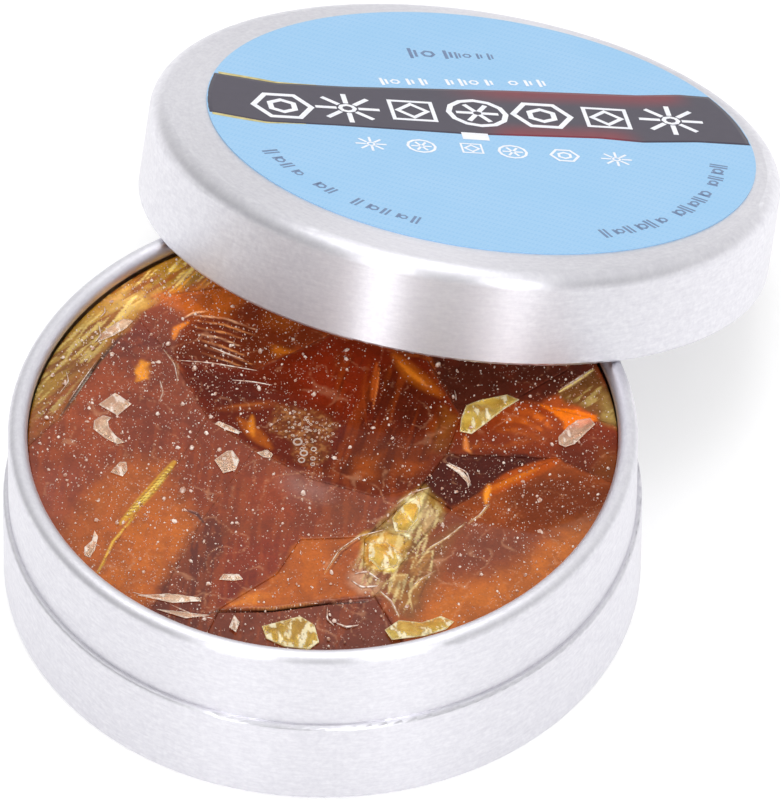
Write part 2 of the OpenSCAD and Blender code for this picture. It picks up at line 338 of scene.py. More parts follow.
def paint_rim(p):
    """The olive crescent along the left rim, with its brown streaks, its dark crack and painted
    highlights along and beside that crack.
    """
    p.area([(-12, 13.2), (-15.5, 11), (-17.8, 10.4), (-19.1, 7.4), (-20.2, 2.9), (-20.8, -4.3),
            (-22.4, -9.5), (-26, -12), (-30, 0), (-26, 18), (-12, 24)], (150, 104, 34), 0.5)
    p.area([(-21.3, 3), (-20.4, 2.6), (-20.9, -4.6), (-22.3, -9.4), (-22.8, -6), (-22, -2)],
           (142, 66, 30), 0.7, 0.9)
    p.area([(-25, 9), (-21, 6), (-21.6, 0), (-23, -4), (-26, -4)], (156, 118, 44), 1.6, 0.85)
    p.area([(-21.5, 10.5), (-18.5, 10.4), (-19.4, 8), (-21.6, 6.8)], (166, 128, 62), 0.9, 0.9)
    p.area([(-20.5, 12.8), (-17, 15.5), (-15, 13), (-18.6, 10.8)], (116, 82, 18), 0.8, 0.9)
    p.area([(-18, 14.5), (-16, 14.6), (-16.8, 12.9), (-18.2, 13.5)], (176, 138, 34), 0.5)
    streak = p.streaks(41, 62, 4.5, 2.6, 0.45, 0.6)
    inside = smooth(depth_inside(p.xy, [(-12, 13.8), (-19.3, 9), (-21, -5), (-30, -12), (-30, 25)]))
    p.lay(streak * inside * 0.75, (112, 52, 16))
    p.lay(p.streaks(47, 75, 3.0, 3.2, 0.58, 0.66) * inside * 0.6, (216, 190, 110))
    for k in range(9):
        x = -18.6 + 0.62 * k
        p.stroke([(x, 10.0 + 0.16 * k), (x + 1.0, 11.7), (x + 1.7, 14.4)], 0.2,
                 (204, 140, 40) if k % 2 else (112, 58, 16), 0.16, 0.75, 0.9, 0.03)
    p.stroke([(-19.4, 5.2), (-20.1, 2), (-20.5, -1), (-20.9, -4.8)], 0.34, (58, 40, 38), 0.2,
             0.9, 0.8, 0.16)
    # painted highlights: pale lines along the crack's edges, under the glint slivers
    p.stroke([(-20.2, 1.6), (-20.5, -1), (-20.7, -3.2)], 0.1, (206, 190, 170), 0.08, 0.9, 0.8)
    p.stroke([(-22.1, -0.3), (-21.6, -1.2), (-21.8, -2.4)], 0.09, (216, 200, 150), 0.08, 0.8, 0.8)
    p.area([(-16.8, 3), (-16.2, 3), (-15.9, 1.2), (-16.5, 0.8), (-16.9, 1.9)], (236, 146, 26), 0.25)


def paint_back(p):
    """The back left: red-brown with pale ribs that fan out, where the break ran shell-shaped."""
    p.area([(-19, 8), (-14.6, 4.4), (-8, 5), (-3.4, 11.6), (-2, 30), (-14, 30), (-13, 13)],
           (100, 38, 14), 0.5)
    p.area([(-18.6, 10.2), (-14.5, 9), (-12, 10.5), (-10, 14), (-14.5, 13.6)], (146, 70, 18), 0.8)
    p.area([(-14.5, 4.6), (-8.4, 5), (-7.6, 8), (-10, 9.4), (-14, 9.2)], (84, 30, 12), 0.7, 0.8)
    fan = [((-15.0, 9.3), (-12.2, 9.9), (-9.4, 9.6)), ((-14.6, 8.8), (-12, 9.2), (-8.6, 8.9)),
           ((-14.4, 8.1), (-11.5, 8.4), (-9.6, 8.2)), ((-13.9, 7.5), (-11.8, 7.7), (-9.9, 7.4)),
           ((-13.6, 6.9), (-11.4, 6.9), (-9.0, 6.5)), ((-13.2, 6.3), (-10.6, 6.3), (-8.2, 5.8)),
           ((-14.2, 4.0), (-11.5, 4.7), (-7.6, 5.2)), ((-12.6, 5.6), (-10.4, 5.5), (-8.8, 5.3)),
           ((-9.2, 3.6), (-7.6, 4.0), (-6.0, 4.2)), ((-15.4, 8.7), (-14.8, 9.6), (-13.8, 10.2))]
    for k, line in enumerate(fan):
        broken = 0.35 + 0.65 * p.patches(60 + k, 0.8, 0.35, 0.55)
        p.stroke(line, 0.15, (190, 122, 70) if k % 3 else (206, 160, 122), 0.12, 0.9, 0.9, -0.03,
                 texture=broken)
        shade = [(a, b - 0.22) for a, b in line]
        p.stroke(shade, 0.2, (64, 22, 10), 0.16, 0.7, 0.9, 0.06)
    p.stroke([(-14.9, 8.4), (-15.5, 7.4), (-15.3, 6.3)], 0.55, (190, 104, 20), 0.3, 0.9, 0.6)
    p.area([(-7.4, 8.4), (-5.4, 8.2), (-5.8, 7.4), (-7.2, 7.7)], (178, 96, 20), 0.5, 0.9)
    p.area([(-4, 11.8), (6, 11.8), (5, 10.6), (-3, 10.4)], (138, 64, 16), 1.2, 0.9)
    p.area([(-9, 12), (-6, 12), (-7, 10.5), (-9, 10.6)], (136, 66, 16), 0.8, 0.7)
    p.area([(4.6, 12), (7.6, 8.4), (9.6, 6.4), (12.8, 9.6), (15.2, 10.2), (16, 11.8), (17.8, 15.4),
            (20, 30), (0, 30), (2, 13.5)], (66, 27, 17), 0.35)
    p.lay(p.patches(9, 1.6, 0.5, 0.66) * 0.4 * smooth(p.xy[:, 1] - 9.5), (84, 30, 16))


def paint_centre(p):
    """The smooth dark middle, lit from inside in places."""
    p.area([(-7.9, 5.3), (-14.6, 4.6), (-9.6, -1), (-4.8, -3), (0.6, -4.4), (6.4, -4.4), (9.2, -2.1),
            (9.9, 2.1), (9.6, 6.4), (4.6, 11.4), (-3.4, 11.2)], (96, 28, 9), 0.25)
    p.area([(1.6, 9), (6.8, 8.4), (8.8, 6), (7, 3.6), (2.6, 4.4)], (74, 24, 10), 1.4, 0.85)
    p.area([(-3, 10), (1.4, 9.6), (1.4, 3), (-3, 3.4), (-5, 7)], (122, 36, 12), 1.4, 0.85)
    p.area([(3, 2), (9.4, 3.2), (9, -2), (5, -4), (2, -3)], (112, 46, 12), 1.8, 0.8)
    p.area([(8, 6.6), (9.4, 6.2), (9.6, 2.5), (8.4, 2)], (126, 68, 20), 0.8, 0.8)
    p.area([(-13.4, 3.6), (-8.5, 4.6), (-6, 2.6), (-9, -0.2)], (82, 24, 11), 0.6, 0.8)
    column = smooth(depth_inside(p.xy, [(-3, 10), (3.4, 10), (9.4, 5), (9, -3), (1, -4), (-1, 3)]))
    p.lay(p.streaks(71, 97, 6.0, 1.7, 0.48, 0.66) * column * 0.5, (136, 56, 14))
    p.lay(p.streaks(72, 96, 5.0, 3.4, 0.5, 0.62) * column * 0.45, (62, 18, 8))
    p.stroke([(1.1, 9.6), (1.8, 7.2), (2.2, 5.4)], 0.5, (168, 74, 22), 0.3, 0.85, 0.9)
    p.stroke([(1.5, 9.2), (2.1, 7), (2.6, 4.6)], 0.14, (208, 112, 50), 0.12, 0.8, 0.9)
    p.stroke([(0.6, 9.2), (1.1, 6.4), (2.9, 2.4)], 0.16, (140, 56, 18), 0.16, 0.7, 0.9)
    p.stroke([(2.2, 10.9), (4.2, 9.4), (7.2, 8)], 1.5, (150, 72, 14), 0.8, 0.9, 0.7)
    p.stroke([(2.8, 10.3), (4.6, 9.2), (5.8, 8.6)], 0.5, (206, 116, 26), 0.4, 0.8, 0.9)
    p.stroke([(-9.4, 0), (-7.6, 1), (-5.4, 2.2), (-3.8, 2.4)], 1.0, (122, 50, 14), 0.5, 0.9, 0.8)
    p.stroke([(-8.6, 0.6), (-7.2, 1.4), (-5.6, 2.2)], 0.3, (156, 80, 30), 0.2, 0.8, 0.9)
    p.stroke([(-7.2, -0.2), (-5.6, -1.2), (-3.6, -2.4)], 1.2, (164, 78, 14), 0.6, 0.9, 0.8)
    p.stroke([(-6.3, 0.5), (-5.9, -0.8), (-5.4, -1.6)], 0.5, (222, 128, 28), 0.4, 0.8, 0.8)
    p.area([(3.6, -1), (5, 0), (5.4, -2.4), (4, -3)], (158, 72, 16), 0.9, 0.7)
    p.area([(6.6, -0.2), (8.6, 0.4), (8.2, -1.2), (6.8, -1.4)], (150, 66, 14), 0.7, 0.7)
    froth = smooth(depth_inside(p.bent, [(-4.9, 2.2), (-1.2, 2.9), (0.5, 2.2), (0.8, -3.3),
                                         (-1.4, -3), (-2.6, -1.2), (-4.6, -0.6)]) / 0.7 + 0.4)
    p.lay(froth * 0.5, (126, 66, 28))
    grains = p.patches(81, 0.22, 0.5, 0.62)
    p.lay(froth * grains * 0.6, (168, 112, 62))
    p.lay(froth * p.patches(82, 0.3, 0.55, 0.68) * 0.7, (88, 40, 16))


def paint_right(p):
    """The right: an orange swirl, a bright facet, the dark wedge and the smooth front slab."""
    p.area([(9.6, 6.4), (9.9, 2.1), (18.6, 4.8), (26, 2.4), (26, 12), (19.8, 10.1), (12.8, 9.7)],
           (112, 40, 13), 0.25)
    p.area([(13, 9.2), (17.6, 9), (18.4, 6.6), (15.6, 5), (12.2, 6.4)], (116, 46, 14), 1.2, 0.9)
    for k, line in enumerate([((12.2, 3.7), (14.2, 4.5), (15.8, 5.9)),
                              ((12.9, 6.0), (15.2, 6.6), (17, 6.1)),
                              ((13.2, 8.6), (15, 8.9), (16.8, 8.0)),
                              ((12.6, 7.2), (14.4, 7.9), (16.6, 7.2)),
                              ((11.0, 2.8), (11.6, 3.6), (12.3, 4.2))]):
        p.stroke(line, 0.7, (168, 80, 22), 0.5, 0.75, 0.9, bent=True,
                 texture=0.3 + 0.7 * p.patches(90 + k, 0.7))
    p.stroke([(10.7, 4.4), (11.2, 3.2), (11.8, 2.8)], 0.45, (224, 132, 64), 0.3, 0.85, 0.8)
    p.area([(18.2, 8), (20.2, 9.7), (26, 9), (26, 3), (19.4, 3.6), (18.2, 5.6)], (88, 32, 16), 0.8, 0.9)
    p.area([(21.4, 7), (26, 7), (26, 3), (22, 3.2)], (116, 58, 18), 1.0, 0.7)
    p.area([(15.2, 10.1), (19.9, 10.5), (20.3, 9.9), (18.4, 7.9)], (176, 84, 8), 0.14)
    p.area([(9.9, 2.1), (9.2, -2.1), (12.5, -3.4), (14.4, 0), (18.6, 4.8), (16, 4.2)],
           (72, 24, 14), 0.25)
    p.area([(18.6, 4.7), (14.4, 0), (12.4, -3.4), (11.2, -7.3), (10.4, -11.7), (9.9, -14.4),
            (13.6, -18.4), (20, -26), (30, -18), (30, 2.4)], (144, 66, 24), 0.25)
    p.area([(14.2, -4.6), (19.6, -3.8), (20.4, -7), (17, -9.8), (13.4, -9.4)], (120, 54, 28), 1.8)
    p.area([(15.5, 0.5), (20, 4), (24, 3), (24, -3), (18, -3.4)], (100, 40, 16), 1.2, 0.8)
    p.area([(24.5, 0), (21.4, -3), (20, -6.6), (18, -10), (14.4, -12), (14, -16), (20, -20),
            (26, -10)], (186, 98, 26), 1.8)
    p.area([(13.2, -2), (14.2, -0.6), (13.8, -5), (12, -8), (11.6, -5.6)], (122, 52, 16), 0.5, 0.8)
    p.stroke([(14.5, -0.9), (15.6, 1), (17.2, 3), (18.4, 4.4)], 1.7, (166, 70, 10), 0.45, 0.95, 0.55)
    p.stroke([(14.5, -0.7), (15.8, 1.2), (17.4, 3.1)], 0.7, (196, 98, 16), 0.45, 0.9, 0.7)
    p.stroke([(14.3, 0.1), (14.5, -0.9), (14.8, -2)], 0.5, (240, 146, 36), 0.3, 0.9, 0.7)
    p.area([(16, 11.8), (17.8, 15.4), (21, 13), (24, 9.8), (20.6, 9.8), (19.4, 10.7), (17, 11)],
           (84, 50, 22), 0.3)
    # painted highlight: a pale line along this edge, under a glint sliver
    p.stroke([(16.1, 11.9), (17, 13.6), (17.8, 15.2)], 0.3, (206, 186, 120), 0.16, 0.9, 0.7, -0.03)
    p.area([(19.2, 13.2), (22, 11), (22, 9.8), (20.6, 10)], (118, 96, 48), 0.7, 0.8)
    p.lay(p.streaks(99, 70, 2.0, 3.0, 0.56, 0.66) * 0.5
          * smooth(depth_inside(p.xy, [(15.8, 11.4), (17.8, 15.6), (24, 12), (24, 9.4)])), (150, 132, 76))


def paint_front(p):
    """The front: wine-brown and orange panels between clean, straight cracks."""
    p.area([(-9.6, -1.1), (-4.8, -3.1), (0.6, -4.5), (6.4, -4.5), (8.4, -3), (7, -8), (2.1, -11.2),
            (-6, -11.6), (-10.1, -6.7)], (124, 48, 18), 0.5, 0.9)
    p.area([(-4, -6), (-1.5, -4.6), (0.8, -7), (-0.6, -10.6), (-3, -10)], (142, 54, 18), 1.4, 0.8)
    p.area([(2.2, -6), (5.4, -5), (6.8, -7.4), (4, -9)], (116, 52, 22), 1.0, 0.8)
    p.area([(-6.1, -11.5), (-3.4, -11.2), (-2.5, -14), (-2.8, -18), (-1.6, -24), (-7, -24),
            (-6.3, -17)], (92, 36, 22), 0.8)
    p.area([(-3.2, -12), (2.1, -11), (1.7, -15.2), (-1.2, -20.3), (-2.8, -19)], (128, 44, 18), 0.9)
    p.area([(-1.6, -17), (0.8, -15), (-0.6, -19.4), (-1.6, -19.6)], (112, 30, 14), 0.6, 0.8)
    p.area([(2.1, -11), (4, -10.2), (6.8, -9), (8, -12.3), (9.8, -14.5), (6, -16.6), (2.7, -18.8),
            (-1.3, -20.3), (0.6, -17.4), (1.7, -14.8)], (178, 88, 18), 0.35)
    p.area([(5, -10.6), (7, -9.6), (8, -12.4), (9.4, -14.8), (6.4, -15)], (150, 70, 26), 1.2, 0.8)
    p.area([(0, -18), (1.6, -17.6), (1.2, -19), (-0.6, -19.6)], (214, 122, 34), 0.5, 0.8)
    p.area([(-1.4, -20.5), (2.7, -19), (6, -16.9), (9.9, -14.6), (13.8, -18.4), (20, -25), (0, -28),
            (-2, -24)], (108, 48, 30), 0.22)
    p.area([(2.4, -19), (6, -17), (8, -19), (7, -24), (2, -24)], (120, 56, 34), 1.4, 0.7)
    p.lay(p.patches(11, 1.5) * 0.25 * (p.xy[:, 1] < -3), (106, 40, 18))
    p.lay(p.streaks(12, 105, 3.5, 2.4, 0.52, 0.62) * 0.25 * (p.xy[:, 1] < -3) * (p.xy[:, 0] < 9),
          (166, 78, 30))


def paint_crush(p):
    """The crushed column between the slabs: splintered olive and yellow glass, with painted highlights on
    its brightest splinters and along its cracks.
    """
    p.area([(7.5, -6.8), (8.2, -4), (9.7, -1.8), (11.9, -3.8), (11.4, -7.5), (10.6, -12), (9.9, -14.4),
            (8, -12.4), (6.8, -8.8)], (158, 120, 50), 0.5)
    p.area([(8, -6.6), (8.7, -3.8), (9.9, -2.4), (10.4, -5), (10.2, -7.4)], (232, 216, 150), 0.5)
    p.area([(6.8, -8.4), (8.2, -7.3), (10.3, -8.2), (10.4, -11.4), (8.5, -11.9), (7.1, -10)],
           (200, 142, 42), 0.5)
    p.area([(9, -9.4), (10.2, -9.6), (10.3, -11.5), (8.8, -11.6)], (240, 212, 84), 0.3)
    # painted highlight: a near-white patch on the upper shard
    p.area([(8.8, -3.6), (9.9, -4.4), (9.3, -6.2), (8.6, -5.6)], (252, 244, 186), 0.2)
    p.area([(7.4, -12.2), (9.9, -12.2), (10.2, -14), (8.6, -14.9), (7.4, -13.9)], (196, 144, 112), 0.6,
           0.85)
    p.area([(11.4, -8), (13.6, -5), (13.8, -10), (14, -16), (12.6, -16.2), (10.4, -14), (10.8, -10.4)],
           (126, 74, 34), 0.7, 0.85)
    for k, (corners, colour) in enumerate((
            ([(10.1, -3), (11.6, -4.4), (11.2, -6.4), (10.4, -5.4)], (186, 150, 104)),
            ([(10.4, -6), (11.6, -7), (11, -9.4), (10.4, -8)], (120, 70, 30)),
            ([(7.7, -6.2), (8.5, -5), (8.6, -7), (7.9, -7.4)], (140, 104, 44)),
            ([(7.2, -9.2), (8.2, -8.2), (8.6, -9.6), (7.8, -10.8)], (186, 128, 40)),
            ([(8.4, -7.6), (9.8, -7.4), (10.2, -8.6), (8.8, -8.8)], (214, 170, 74)),
            ([(11.2, -9.8), (12.6, -8.4), (13.2, -10.6), (12, -12)], (166, 112, 52)),
            ([(11.6, -12), (13.2, -11), (13.4, -14), (12.4, -15.4)], (150, 96, 40)),
            ([(10.4, -12.2), (11.6, -11.6), (12, -14.4), (10.8, -13.8)], (186, 140, 76)),
            ([(6.9, -11.4), (7.8, -11.2), (7.6, -12.8), (6.8, -12.8)], (150, 84, 40)),
            ([(9.2, -11.8), (10.3, -11.6), (10.6, -12.8), (9.4, -12.8)], (130, 66, 36)))):
        p.area(corners, colour, 0.16, 0.8)
        p.stroke(corners[:3], 0.1, (236, 214, 150) if k % 2 else (96, 52, 20), 0.1, 0.8, 0.8)
    # painted highlights: near-white, flecked patches where the splinters catch the light
    for corners in ([(8.9, -3.3), (9.8, -3.2), (9.5, -4.6), (8.8, -5.6), (8.5, -4.8)],
                    [(9.2, -9.6), (10.3, -9.3), (10.4, -10.8), (9.2, -11.6), (8.7, -11.0)],
                    [(7.4, -8.9), (8.1, -8.3), (8.3, -9.2), (7.7, -9.8)],
                    [(9.9, -6.2), (10.3, -6.4), (10.1, -7.6), (9.7, -7.2)]):
        painted_sparkle = 0.35 + 0.65 * p.patches(19, 0.35, 0.4, 0.52)
        p.area(corners, (255, 250, 206), 0.14, 1.0, texture=painted_sparkle)
    zone = smooth(depth_inside(p.xy, [(6.6, -9), (8, -4), (9.7, -1.6), (12, -3.6), (13.6, -8),
                                      (13.4, -16), (9.9, -15), (7.2, -13.6)]) / 0.8)
    p.lay(zone * p.streaks(16, 98, 1.6, 3.4, 0.6, 0.66) * 0.55, (236, 214, 150))
    p.lay(zone * p.streaks(17, 80, 1.2, 3.0, 0.58, 0.66) * 0.45, (92, 48, 18))
    # painted highlights: pale lines along the splinters' cracks, under the glint slivers
    for line in ([(5.3, -13.6), (5.5, -11), (6.5, -8.9), (8.3, -7.5)],
                 [(8.1, -4.4), (8.9, -2.9), (9.9, -2)],
                 [(14.0, -4.6), (13.2, -6.6), (12.2, -8.4), (11.9, -10.4)],
                 [(10.1, -14.1), (11.4, -14.8), (12.6, -16.2)],
                 [(13.6, -10.4), (12.8, -11.6), (12.4, -13.4), (13.4, -15.4)],
                 [(15.1, -2), (14.8, -3.4), (14.2, -4.6)]):
        p.stroke(line, 0.16, (222, 190, 130), 0.12, 0.8, 0.8, -0.02)
    p.stroke([(5.6, -13.4), (5.8, -11), (6.8, -9)], 0.14, (70, 26, 12), 0.12, 0.7, 0.8, 0.04)


def paint_cracks(p):
    """Thin lines: the dark open crack, the yellow needle and the pale edge of the centre slab, with two
    painted highlights along that slab's edge.
    """
    p.stroke([(9.6, -15.3), (6.5, -16.7), (2.6, -19.0), (-1.4, -20.6), (-1.9, -21.2)], 0.24,
             (38, 14, 8), 0.14, 1.0, 0.75, 0.3)
    p.stroke([(6.5, -16.5), (2.6, -18.8), (-1.4, -20.4)], 0.1, (214, 140, 70), 0.1, 0.6, 0.9)
    p.stroke([(-10.4, -6.6), (-10.9, -9.6), (-12, -14.4)], 0.85, (196, 138, 34), 0.16, 1.0, 0.55, -0.03)
    for k in (-2, -1, 0, 1, 2):
        off = 0.14 * k
        p.stroke([(-10.4 + off * 0.4, -7.1), (-10.9 + off, -10), (-11.9 + off * 0.5, -13.6)], 0.09,
                 (250, 222, 104) if k % 2 else (120, 74, 20), 0.08, 0.9, 0.6, -0.02 if k % 2 else 0.03)
    p.stroke([(-11.2, -13), (-11.9, -16.5), (-11.8, -20.2)], 0.16, (232, 186, 70), 0.12, 0.95, 0.6)
    p.stroke([(-7.6, -11.2), (-6.6, -11.3), (-5.8, -12)], 0.28, (50, 30, 40), 0.2, 0.8, 0.7, 0.06)
    p.area([(-1, -4.5), (2, -4.9), (2.4, -6), (0, -6.6), (-1.4, -5.6)], (160, 118, 108), 1.4, 0.55)
    rim = [(-14.6, 4.2), (-12.4, 1.4), (-9.6, -1.1), (-4.8, -3.1), (0.6, -4.5), (6.4, -4.5)]
    p.stroke(rim, 0.12, (176, 120, 84), 0.12, 0.5, 0.5, texture=p.patches(18, 1.2))
    # painted highlights: pale lines where the slab's broken edge catches the light, under glint slivers
    p.stroke([(-15.6, 4.8), (-13.8, 3.4), (-13.3, 1.8)], 0.12, (196, 150, 110), 0.1, 0.7, 0.8)
    p.stroke([(-14.6, 1.4), (-14, 0.4), (-13.9, -0.7)], 0.1, (206, 170, 140), 0.1, 0.7, 0.8)


def painted(xy):
    """Linear colours, brightened towards the back as painted light, with the gloss as a fourth column,
    and dips for places on the cake's top face.
    """
    p = Paint(xy, (128, 56, 22))
    for paint_part in (paint_left, paint_rim, paint_back, paint_centre, paint_right, paint_front,
                       paint_crush, paint_cracks):
        paint_part(p)
    for k, (size, where) in enumerate(((2.6, -3.0), (1.5, 1.0))):
        contour = clouds(p.bent[:, 0] / size, p.bent[:, 1] / size, 200 + 7 * k, 1)
        hairline = smooth(1 - np.abs(contour - 0.5) / 0.02) * p.patches(210 + k, 2.2, 0.42, 0.6)
        p.lay(hairline * (0.36 - 0.16 * smooth(xy[:, 1] - where)), (204, 146, 108))
    tone = 0.82 + 0.36 * clouds(xy[:, 0] / 0.7, xy[:, 1] / 0.7, 21)
    grit = 0.9 + 0.2 * clouds(xy[:, 0] / 0.16, xy[:, 1] / 0.16, 22, 2)
    # painted light: the colours grow brighter towards the back, under the lid, standing in for the light
    # that the lid's shade takes away
    painted_back_light = 1 + 1.3 * smooth((xy[:, 1] - 3) / 9)
    broken = smooth(depth_inside(p.xy, BROKEN_FACE) / 0.5 + 0.5)
    gloss = GLOSS * (1 - broken) + BROKEN_GLOSS * broken
    return np.column_stack([p.rgb * (tone * grit * painted_back_light)[:, None], gloss]), p.dip


# ---------------------------------------------------------------- node materials

def new_material(name):
    material = bpy.data.materials.new(name)
    material.use_nodes = True
    material.node_tree.nodes.clear()
    return material, material.node_tree


def finished(material, shader):
    """The material, with this shader on its surface."""
    node(material.node_tree, "ShaderNodeOutputMaterial", {"Surface": shader.outputs[0]})
    return material


def node(tree, kind, values=None, **settings):
    """A shader node with its properties and its sockets' values or links."""
    made = tree.nodes.new(kind)
    for key, value in settings.items():
        setattr(made, key, value)
    for key, value in (values or {}).items():
        socket = made.inputs[key]
        if isinstance(value, bpy.types.NodeSocket):
            tree.links.new(value, socket)
        else:
            socket.default_value = value
    return made


def rgba(colour):
    return (*linear(colour), 1.0)


def object_place(tree):
    return node(tree, "ShaderNodeTexCoord").outputs["Object"]


def noise(tree, place, scale, detail=3.0, roughness=0.55):
    return node(tree, "ShaderNodeTexNoise", {"Vector": place, "Scale": scale, "Detail": detail,
                                             "Roughness": roughness}).outputs["Fac"]


def spread(tree, value, low, high, to_low=0.0, to_high=1.0):
    return node(tree, "ShaderNodeMapRange", {"Value": value, "From Min": low, "From Max": high,
                                             "To Min": to_low, "To Max": to_high}).outputs["Result"]


def mixed(tree, share, first, second, blend="MIX"):
    made = node(tree, "ShaderNodeMix", data_type="RGBA", blend_type=blend)
    for index, value in ((0, share), (6, first), (7, second)):
        if isinstance(value, bpy.types.NodeSocket):
            tree.links.new(value, made.inputs[index])
        else:
            made.inputs[index].default_value = value
    return made.outputs[2]


def calculated(tree, operation, first, second):
    return node(tree, "ShaderNodeMath", {0: first, 1: second}, operation=operation).outputs[0]


def principled(tree, values):
    return node(tree, "ShaderNodeBsdfPrincipled", values)


def bump(tree, height, strength, distance):
    return node(tree, "ShaderNodeBump", {"Height": height, "Strength": strength,
                                         "Distance": distance}).outputs["Normal"]


def vector_math(tree, operation, first, second=None):
    made = node(tree, "ShaderNodeVectorMath", operation=operation)
    for index, value in ((0, first), (1, second)):
        if isinstance(value, bpy.types.NodeSocket):
            tree.links.new(value, made.inputs[index])
        elif value is not None:
            made.inputs[index].default_value = value
    return made.outputs["Value"] if operation in ("DOT_PRODUCT", "LENGTH") else made.outputs["Vector"]


def metal_material(name, centre, axis):
    """Satin aluminium whose fine grain runs round the piece's own axis."""
    material, tree = new_material(name)
    away = vector_math(tree, "SUBTRACT", object_place(tree), tuple(centre * MM))
    round_about = vector_math(tree, "CROSS_PRODUCT", tuple(axis), away)
    tangent = vector_math(tree, "NORMALIZE", round_about)
    height = vector_math(tree, "DOT_PRODUCT", away, tuple(axis))
    radius = vector_math(tree, "LENGTH", round_about)
    depth = calculated(tree, "ADD", height, radius)
    fine = calculated(tree, "MULTIPLY", depth, GRAIN_ACROSS)
    along = node(tree, "ShaderNodeCombineXYZ", {"Z": fine}).outputs[0]
    slow = vector_math(tree, "MULTIPLY", tangent, GRAIN_ALONG)
    grain_place = vector_math(tree, "ADD", slow, along)
    grain = noise(tree, grain_place, 4.0, 5.0, 0.7)
    mottle = noise(tree, object_place(tree), 2600.0, 2.0)
    shade = mixed(tree, spread(tree, grain, 0.3, 0.7), rgba((224, 223, 229)), rgba((238, 237, 242)))
    shade = mixed(tree, spread(tree, mottle, 0.3, 0.7, 0.0, 0.35), shade, rgba((210, 208, 217)))
    rough = spread(tree, mottle, 0.3, 0.7, 0.36, 0.44)
    relief = calculated(tree, "ADD", grain, mottle)
    shader = principled(tree, {
        "Base Color": shade, "Metallic": 1.0, "Roughness": rough, "Anisotropic": 0.75,
        "Anisotropic Rotation": 0.25, "Tangent": tangent, "Normal": bump(tree, relief, 0.1, 0.00001)})
    return finished(material, shader)


def rosin_material():
    """Amber rosin: the painted depths under a clear, slightly dusty gloss."""
    material, tree = new_material("amber rosin")
    place = object_place(tree)
    painted_on = node(tree, "ShaderNodeAttribute", attribute_name="Tint")
    tint = painted_on.outputs["Color"]
    fine = noise(tree, place, 5200.0, 3.0)
    grit = mixed(tree, fine, (0.74, 0.72, 0.7, 1), (1.3, 1.32, 1.34, 1))
    colour = mixed(tree, 1.0, tint, grit, "MULTIPLY")
    flecks = node(tree, "ShaderNodeTexVoronoi", {"Vector": place, "Scale": 3400.0, "Randomness": 1.0})
    near = spread(tree, flecks.outputs["Distance"], 0.12, 0.24, 1.0, 0.0)
    chosen = spread(tree, noise(tree, place, 650.0, 2.0), 0.47, 0.62)
    dust = calculated(tree, "MULTIPLY", calculated(tree, "MULTIPLY", near, chosen), FLECK_SHARE)
    colour = mixed(tree, dust, colour, rgba((226, 190, 172)))
    rough = spread(tree, noise(tree, place, 420.0, 3.0), 0.35, 0.7, 0.22, 0.42)
    relief = bump(tree, noise(tree, place, 1500.0, 4.0), 0.1, 0.00006)
    shader = principled(tree, {
        "Base Color": colour, "Roughness": rough, "IOR": 1.54, "Specular IOR Level": 0.06,
        "Coat Weight": painted_on.outputs["Alpha"], "Coat IOR": 1.54, "Coat Roughness": 0.06,
        "Normal": relief,
        "Coat Normal": bump(tree, noise(tree, place, 700.0, 3.0), 0.06, 0.00006)})
    return finished(material, shader)


def glass_material(name, clear, deep, edge, roughness):
    """A loose chip of rosin: glassy and tinted, with pale rims and bright patches painted as highlights,
    and open to the lamps' light.
    """
    material, tree = new_material(name)
    place = object_place(tree)
    haze = noise(tree, place, 700.0, 2.0)
    colour = mixed(tree, spread(tree, haze, 0.36, 0.66), rgba(deep), rgba(clear))
    shader = principled(tree, {
        "Base Color": colour, "Roughness": roughness, "IOR": 1.35, "Transmission Weight": TRANSMISSION,
        "Normal": bump(tree, noise(tree, place, 500.0, 2.0), 0.06, 0.00008)})
    pale = principled(tree, {
        "Base Color": mixed(tree, haze, rgba(edge), rgba((255, 250, 240))), "Roughness": 0.3, "IOR": 1.5})
    # the Tint's alpha is the share of the pale shader, which carries the chips' painted highlights
    pale_share = node(tree, "ShaderNodeAttribute", attribute_name="Tint").outputs["Alpha"]
    pale_mixed = node(tree, "ShaderNodeMixShader", {0: pale_share, 1: shader.outputs[0], 2: pale.outputs[0]})
    lamp = node(tree, "ShaderNodeLightPath").outputs["Is Shadow Ray"]
    through = node(tree, "ShaderNodeBsdfTransparent", {"Color": rgba((236, 214, 176))})
    both = node(tree, "ShaderNodeMixShader", {0: lamp, 1: pale_mixed.outputs[0], 2: through.outputs[0]})
    return finished(material, both)


# the pale dust and crumbs; the glint slivers along the cracks use it too, as painted highlights
def dust_and_glint_material():
    material, tree = new_material("rosin dust and glints")
    place = object_place(tree)
    share = spread(tree, noise(tree, place, 2400.0, 2.0), 0.38, 0.62)
    colour = mixed(tree, share, rgba((190, 138, 112)), rgba((248, 234, 222)))
    shader = principled(tree, {
        "Base Color": colour, "Roughness": 0.38, "IOR": 1.5,
        "Normal": bump(tree, noise(tree, place, 6000.0, 2.0), 0.4, 0.00003)})
    return finished(material, shader)


def paper_material():
    """Coated label paper with a fine printed screen."""
    material, tree = new_material("label paper")
    place = object_place(tree)
    dots = node(tree, "ShaderNodeTexVoronoi", {"Vector": place, "Scale": 3000.0, "Randomness": 0.15})
    screen = spread(tree, dots.outputs["Distance"], 0.2, 0.5)
    cloud = noise(tree, place, 160.0, 3.0)
    colour = mixed(tree, screen, rgba((142, 192, 232)), rgba((156, 200, 236)))
    colour = mixed(tree, spread(tree, cloud, 0.3, 0.7, 0.0, 0.4), colour, rgba((148, 196, 233)))
    shader = principled(tree, {
        "Base Color": colour, "Roughness": spread(tree, cloud, 0.3, 0.7, 0.42, 0.55), "IOR": 1.45,
        "Normal": bump(tree, noise(tree, place, 2500.0, 3.0), 0.12, 0.00004)})
    return finished(material, shader)


